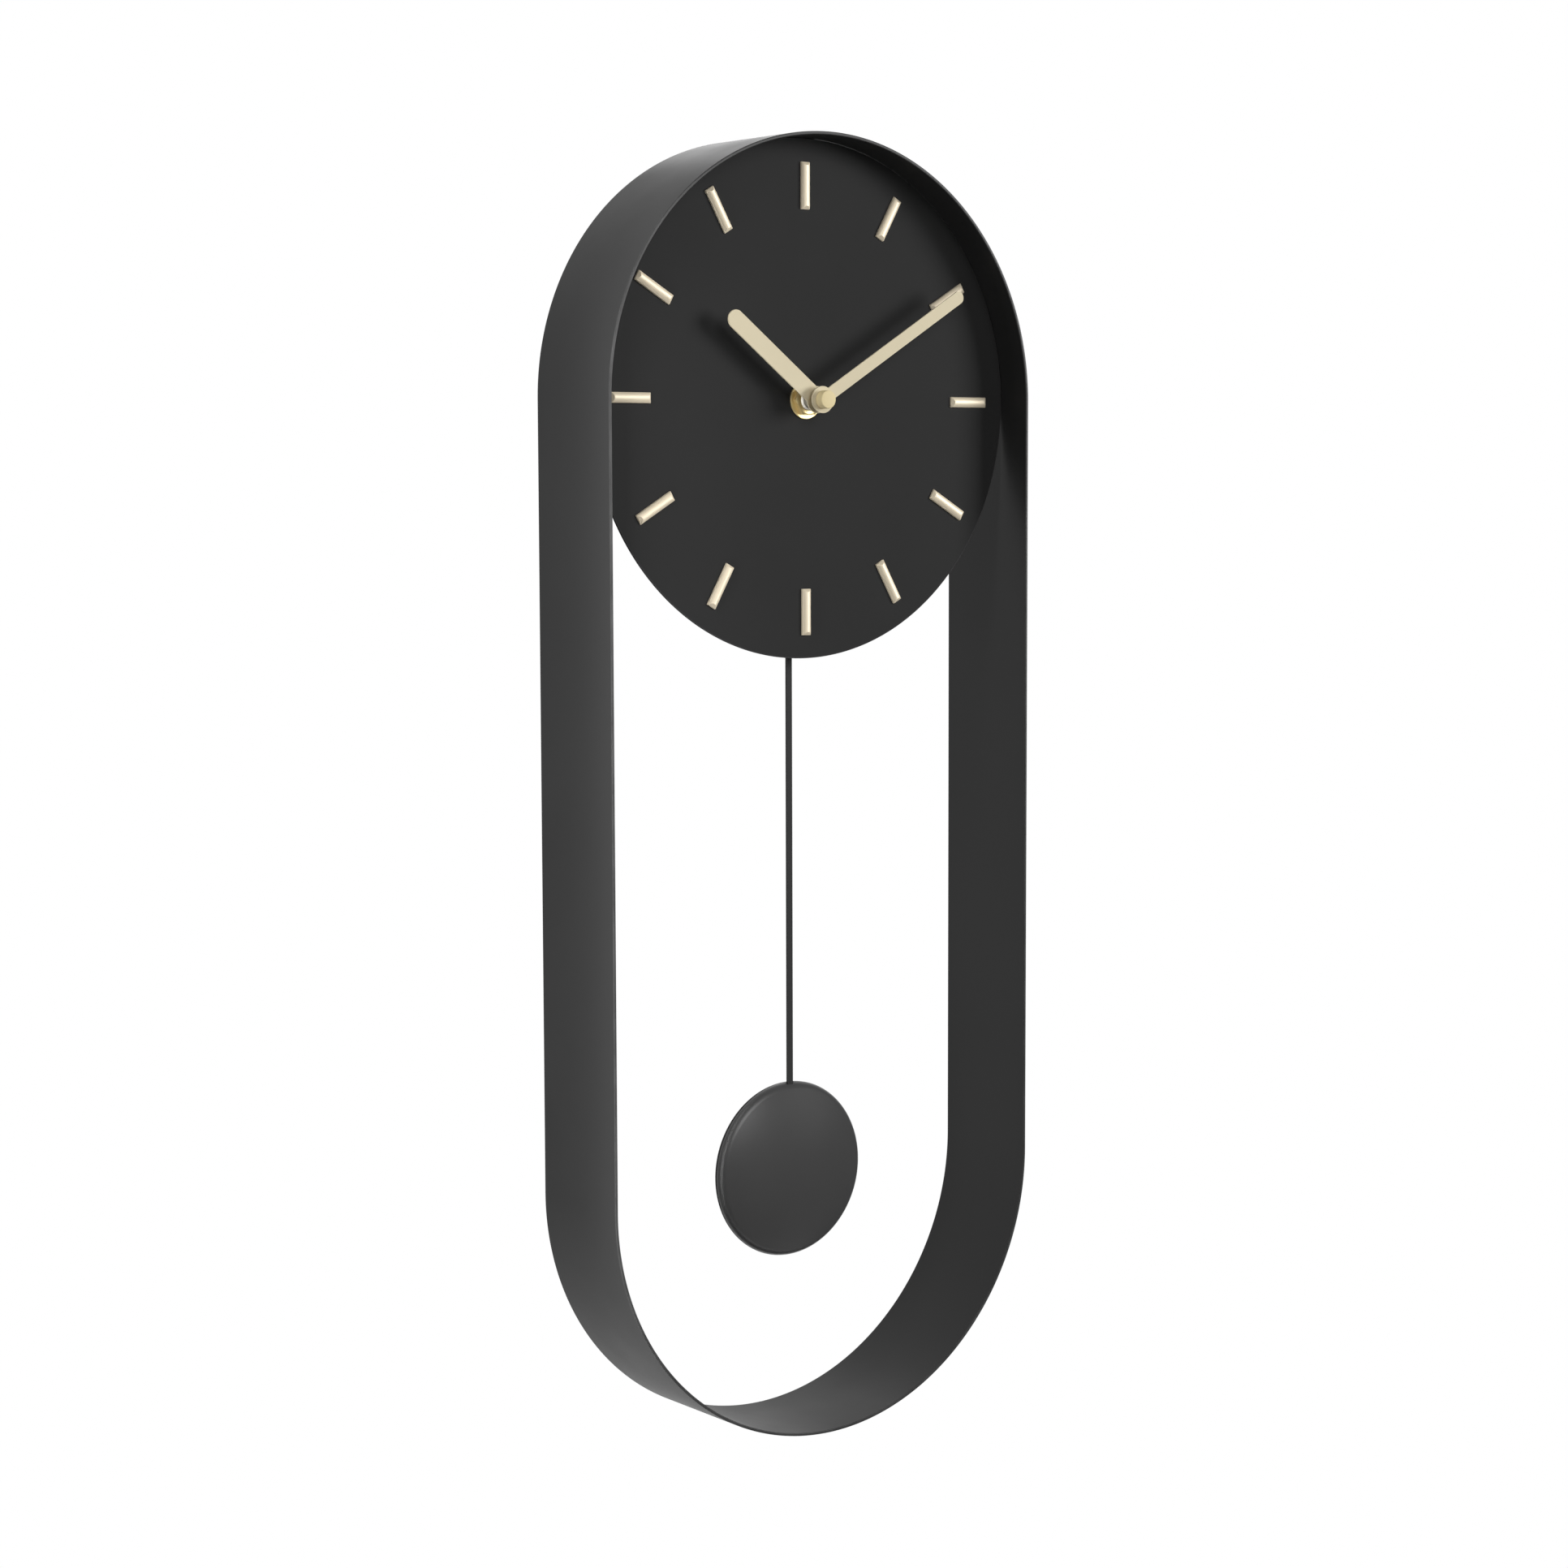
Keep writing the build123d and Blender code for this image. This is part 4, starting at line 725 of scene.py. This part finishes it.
# Pendulum rod: a flat steel strip with an eye that hangs on the hook, coated black. The coat runs
# into a small fillet where the strip enters the bob.
rod_low, rod_high = box_mm("pendulum_rod")
rod_eye = rod_high.x
rod_width = 2.5
rod_bore = 2.0
rod_edge = 0.15
rod_wall = rod_high.y - rod_low.y
rod_length = rod_high.z - rod_eye - rod_low.z
fillet_height = 1.2
fillet_rise = 0.3
fillet_flat = 0.45
fillet_foot = 0.8 * rod_width
fillet_top = 0.5 * rod_width
bob_radius = box_mm("bob_front")[1].x
# Rod coat: a thin matt black lacquer with no shine of its own, so that the strip is one dark line.
rod_coat = finish_with(
    "black_lacquer",
    ("343434", "383838"),
    patch_mm=50,
    grain_mm=1.2,
    depth_mm=0.002,
    roughness=(0.46, 0.52),
    Specular_IOR_Level=0.05,
)
bm = stick_blank(rod_length, rod_width, rod_eye, rod_bore, rod_wall, rod_edge)
downward = Matrix.Rotation(math.pi, 3, "Y")
bmesh.ops.rotate(bm, cent=(0, 0, 0), matrix=downward, verts=bm.verts)
bmesh.ops.translate(bm, vec=(0, rod_low.y, rod_high.z - rod_eye), verts=bm.verts)
seat = Matrix.Translation((0, rod_low.y + rod_wall / 2, bob_z + bob_radius + fillet_rise))
bmesh.ops.create_cone(
    bm,
    cap_ends=True,
    segments=4,
    radius1=fillet_foot,
    radius2=fillet_top,
    depth=fillet_height,
    matrix=seat @ Matrix.Scale(fillet_flat, 4, (0, 1, 0)),
)
add_piece(bm, "rod_strip", rod_coat, "pendulum", "pendulum_steel", "pendulum_rod")

# Bob: two pressed steel shells, crimped together over the rod. The front is a shallow dome with a
# round shoulder in the satin coat; the dish behind it is dead matt and painted darker as shade.
bob_wall = 1.0
bob_front_y = box_mm("bob_front")[0].y
bob_seam_y = box_mm("bob_front")[1].y
bob_back_y = box_mm("bob_back")[1].y
bob_steps = 160
crown_tilt = math.radians(20)
crown_steps = 40
rim_tilt = math.radians(80)
shoulder_round = 4.0
shoulder_steps = 20
dish_steps = 10


def pressed(start, bends, middle=()):
    """Skin turned from a chain of bends that starts at a point, with its wall inwards."""
    bm = bmesh.new()
    last = bm.verts.new((*start, bob_z))
    for centre, angle, steps in bends:
        arc = {"cent": (*centre, bob_z), "axis": (0, 0, 1), "angle": angle, "steps": steps}
        bent = bmesh.ops.spin(bm, geom=[last], **arc)
        last = only(bent["geom_last"], bmesh.types.BMVert)[0]
    for point in middle:
        bm.edges.new((last, bm.verts.new((*point, bob_z))))
    chain = bm.verts[:] + bm.edges[:]
    turn = {"cent": (0, 0, bob_z), "axis": (0, 1, 0), "angle": 2 * math.pi, "steps": bob_steps}
    bmesh.ops.spin(bm, geom=chain, use_merge=True, **turn)
    bmesh.ops.remove_doubles(bm, verts=bm.verts, dist=1e-4)
    bmesh.ops.recalc_face_normals(bm, faces=bm.faces)
    bmesh.ops.solidify(bm, geom=bm.faces[:], thickness=bob_wall)
    return bm


shoulder_reach = bob_radius - shoulder_round * math.sin(rim_tilt)
shoulder_y = bob_seam_y + shoulder_round * math.cos(rim_tilt)
crown_y = shoulder_y + shoulder_reach / math.tan(crown_tilt)
dome = (
    ((0, crown_y), crown_tilt, crown_steps),
    ((shoulder_reach, shoulder_y), rim_tilt - crown_tilt, shoulder_steps),
)
# Bob coat: the same powder, baked smoother, so that a soft highlight shows on the shoulder.
bob_coat = finish_with(
    "powder_coat_bob",
    ("424242", "464646"),
    patch_mm=50,
    grain_mm=1.2,
    depth_mm=0.002,
    roughness=(0.34, 0.39),
    Specular_IOR_Level=0.9,
)
bm = pressed((0, bob_front_y), dome)
bob_face = add_piece(
    bm, "bob_face", bob_coat, "pendulum", "pendulum_steel", "bob_front", outward=False
)
# Dish coat: dead matt, and painted darker than the coat as shade, so that the rim reads as a dark
# line.
bob_dish_painted_shade = finish_with(
    "flat_black_primer",
    ("2a2a2a", "303030"),
    patch_mm=30,
    grain_mm=0.9,
    depth_mm=0.004,
    roughness=(0.66, 0.76),
    Specular_IOR_Level=0.05,
)
back_round = bob_back_y - bob_seam_y
dish = (((bob_radius - back_round, bob_seam_y), math.pi / 2, dish_steps),)
bm = pressed((bob_radius, bob_seam_y), dish, middle=((0, bob_back_y),))
add_piece(bm, "bob_dish", bob_dish_painted_shade, "pendulum", "pendulum_steel", "bob_back", outward=False)

# Sealed wheel work, motor and coils: moulded acetal wheels on a polycarbonate plate, lamination
# steel, lacquered copper and a glass-epoxy board, all shut inside the case.
inner_finish = {"steel": spring_steel, "brass": polished_brass}
# Natural acetal: milky white and waxy, as it comes from the mould.
inner_finish["wheel_plastic"] = finish_with(
    "natural_acetal",
    ("d9d6cc", "e4e1d8"),
    patch_mm=10,
    grain_mm=0.6,
    depth_mm=0.004,
    roughness=(0.36, 0.46),
)
# Smoked polycarbonate: an even dark grey with a clean shine.
inner_finish["plate_plastic"] = finish_with(
    "smoked_polycarbonate",
    ("3a3d40", "46494c"),
    patch_mm=12,
    grain_mm=0.6,
    depth_mm=0.003,
    roughness=(0.3, 0.4),
)
# Lamination steel: bare rolled sheet, a dull blue-grey metal.
inner_finish["lamination"] = finish_with(
    "lamination_steel",
    ("77787a", "8b8c8e"),
    patch_mm=5,
    grain_mm=0.4,
    depth_mm=0.003,
    roughness=(0.34, 0.46),
    Metallic=1.0,
)
# Lacquered copper: red-brown turns of fine wire under clear enamel, drawn coarser than life.
inner_finish["copper"] = finish_with(
    "lacquered_copper",
    ("9c4a2a", "b65d36"),
    patch_mm=3,
    grain_mm=0.25,
    depth_mm=0.02,
    roughness=(0.26, 0.36),
    Metallic=0.9,
)
# Glass-epoxy board: dark green solder mask with a faint weave.
inner_finish["board"] = finish_with(
    "glass_epoxy_board",
    ("24452f", "2c5238"),
    patch_mm=5,
    grain_mm=0.5,
    depth_mm=0.004,
    roughness=(0.4, 0.5),
)
# Sintered ferrite: charcoal and stony, with hardly any shine.
inner_finish["magnet"] = finish_with(
    "sintered_ferrite",
    ("2e2d2d", "3a3938"),
    patch_mm=3,
    grain_mm=0.4,
    depth_mm=0.01,
    roughness=(0.55, 0.68),
)
node_slots = {row["node"]: row["material_slot"] for row in frame["record"]["subparts"]}
for node, thing in cad.items():
    if node_slots[node] in inner_finish:
        for socket in thing.material_slots:
            socket.material = inner_finish[node_slots[node]]

# Studio: a soft key from the right, whose twin lights only the bob's face and isn't seen in its
# shine, a weaker softbox high in front, a strip close at the left and a small softbox behind. A
# pale floor lies far below, and the surround lights the clock from behind, as a pale wall does.
clock_middle = Vector((0, -0.03, -0.22))
key_spot = (1.17, -1.1, 0.1)
key_size = 0.68
key_power = 22.5
floor_half = 1.0
floor_spot = (0, 0.45, -1.3)
# The key lights everything but the bob's face, and its twin lights nothing else.
receivers = {}
for name, state in (("key_softbox", "EXCLUDE"), ("bob_softbox", "INCLUDE")):
    receivers[name] = bpy.data.collections.new(name)
    receivers[name].objects.link(bob_face)
    receivers[name].collection_objects[0].light_linking.link_state = state
for name, spot, width, height, power in (
    ("key_softbox", key_spot, key_size, key_size, key_power),
    ("bob_softbox", key_spot, key_size, key_size, key_power),
    ("front_softbox", (-0.14, -1.25, 0.32), 0.7, 0.7, 5.6),
    ("side_strip", (-0.125, -0.06, -0.22), 0.02, 0.8, 0.3),
    ("top_softbox", (0.4, 0.58, 0.29), 0.3, 0.3, 0.5),
):
    lamp = bpy.data.lights.new(name, "AREA")
    lamp.shape = "RECTANGLE"
    lamp.size = width
    lamp.size_y = height
    lamp.energy = power
    stand = bpy.data.objects.new(name, lamp)
    stand.location = spot
    stand.rotation_euler = (clock_middle - Vector(spot)).to_track_quat("-Z", "Y").to_euler()
    stand.visible_camera = False
    stand.visible_glossy = name != "bob_softbox"
    if name in receivers:
        stand.light_linking.receiver_collection = receivers[name]
    bpy.context.scene.collection.objects.link(stand)


def seen_directly(tree):
    """Factor that is 1 for camera, glossy and transmitted rays."""
    path = add_node(tree, "ShaderNodeLightPath", {}).outputs
    either = {0: path["Is Camera Ray"], 1: path["Is Glossy Ray"]}
    first = add_node(tree, "ShaderNodeMath", either, operation="MAXIMUM").outputs[0]
    both = {0: first, 1: path["Is Transmission Ray"]}
    return add_node(tree, "ShaderNodeMath", both, operation="MAXIMUM").outputs[0]


# The surround is white to the camera. In a shine it is white only behind the clock, and as a soft
# light it fades out towards the front.
world = bpy.data.worlds.new("white_studio")
bpy.context.scene.world = world
world.use_nodes = True
tree = world.node_tree
tree.nodes.clear()
heading = add_node(tree, "ShaderNodeTexCoord", {}).outputs["Generated"]
behind = add_node(tree, "ShaderNodeSeparateXYZ", {0: heading}).outputs["Y"]
bounce = {"Value": behind, "From Min": -0.1, "From Max": 0.3, "To Min": 0.02, "To Max": 1.0}
level = add_node(tree, "ShaderNodeMapRange", bounce).outputs["Result"]
soft = {"Color": linear("ffffff"), "Strength": level}
ambient = add_node(tree, "ShaderNodeBackground", soft)
gleam = {"Value": behind, "From Min": 0.1, "From Max": 0.6, "To Min": 0.05, "To Max": 1.0}
gleams = add_node(tree, "ShaderNodeMapRange", gleam).outputs["Result"]
looked = add_node(tree, "ShaderNodeLightPath", {}).outputs["Is Camera Ray"]
brighter = {0: gleams, 1: looked}
white = add_node(tree, "ShaderNodeMath", brighter, operation="MAXIMUM").outputs[0]
direct = {"Color": linear("ffffff"), "Strength": white}
surround = add_node(tree, "ShaderNodeBackground", direct)
shown = {0: seen_directly(tree), 1: ambient.outputs[0], 2: surround.outputs[0]}
mixed = add_node(tree, "ShaderNodeMixShader", shown)
add_node(tree, "ShaderNodeOutputWorld", {"Surface": mixed.outputs[0]})

# Floor paint: matt off-white, and plain white where it is seen directly or in a shine.
floor_paint = bpy.data.materials.new("pale_floor_paint")
floor_paint.use_nodes = True
tree = floor_paint.node_tree
tree.nodes.clear()
paint = add_node(tree, "ShaderNodeBsdfDiffuse", {"Color": linear("e6e6e6")})
glow = add_node(tree, "ShaderNodeEmission", {"Color": linear("ffffff"), "Strength": 1.0})
shown = {0: seen_directly(tree), 1: paint.outputs[0], 2: glow.outputs[0]}
mixed = add_node(tree, "ShaderNodeMixShader", shown)
add_node(tree, "ShaderNodeOutputMaterial", {"Surface": mixed.outputs[0]})
bm = bmesh.new()
lie = Matrix.Translation(floor_spot)
bmesh.ops.create_grid(bm, x_segments=1, y_segments=1, size=floor_half, matrix=lie)
mesh = bpy.data.meshes.new("floor")
bm.to_mesh(mesh)
bm.free()
mesh.materials.append(floor_paint)
floor = bpy.data.objects.new("floor", mesh)
bpy.context.scene.collection.objects.link(floor)
bpy.context.scene.view_settings.view_transform = "Standard"

# Camera: to the left of the clock and slightly above its middle, as in the photograph. It is a long
# lens from a little over a metre away.
azimuth, elevation, roll = (math.radians(turn) for turn in (-36.886, 5.361, -0.163))
target = Vector((-0.0038, -0.024, -0.22373))
distance = 1.2692
back = Vector(
    (
        math.sin(azimuth) * math.cos(elevation),
        -math.cos(azimuth) * math.cos(elevation),
        math.sin(elevation),
    )
)
right = Vector((math.cos(azimuth), math.sin(azimuth), 0))
upright = Matrix((right, back.cross(right), back)).transposed()
rolled = upright @ Matrix.Rotation(roll, 3, "Z")
lens = bpy.data.cameras.new("camera")
lens.lens = 75.15
lens.sensor_width = 36.0
camera = bpy.data.objects.new("camera", lens)
camera.matrix_world = Matrix.Translation(target + distance * back) @ rolled.to_4x4()
bpy.context.scene.collection.objects.link(camera)
bpy.context.scene.camera = camera
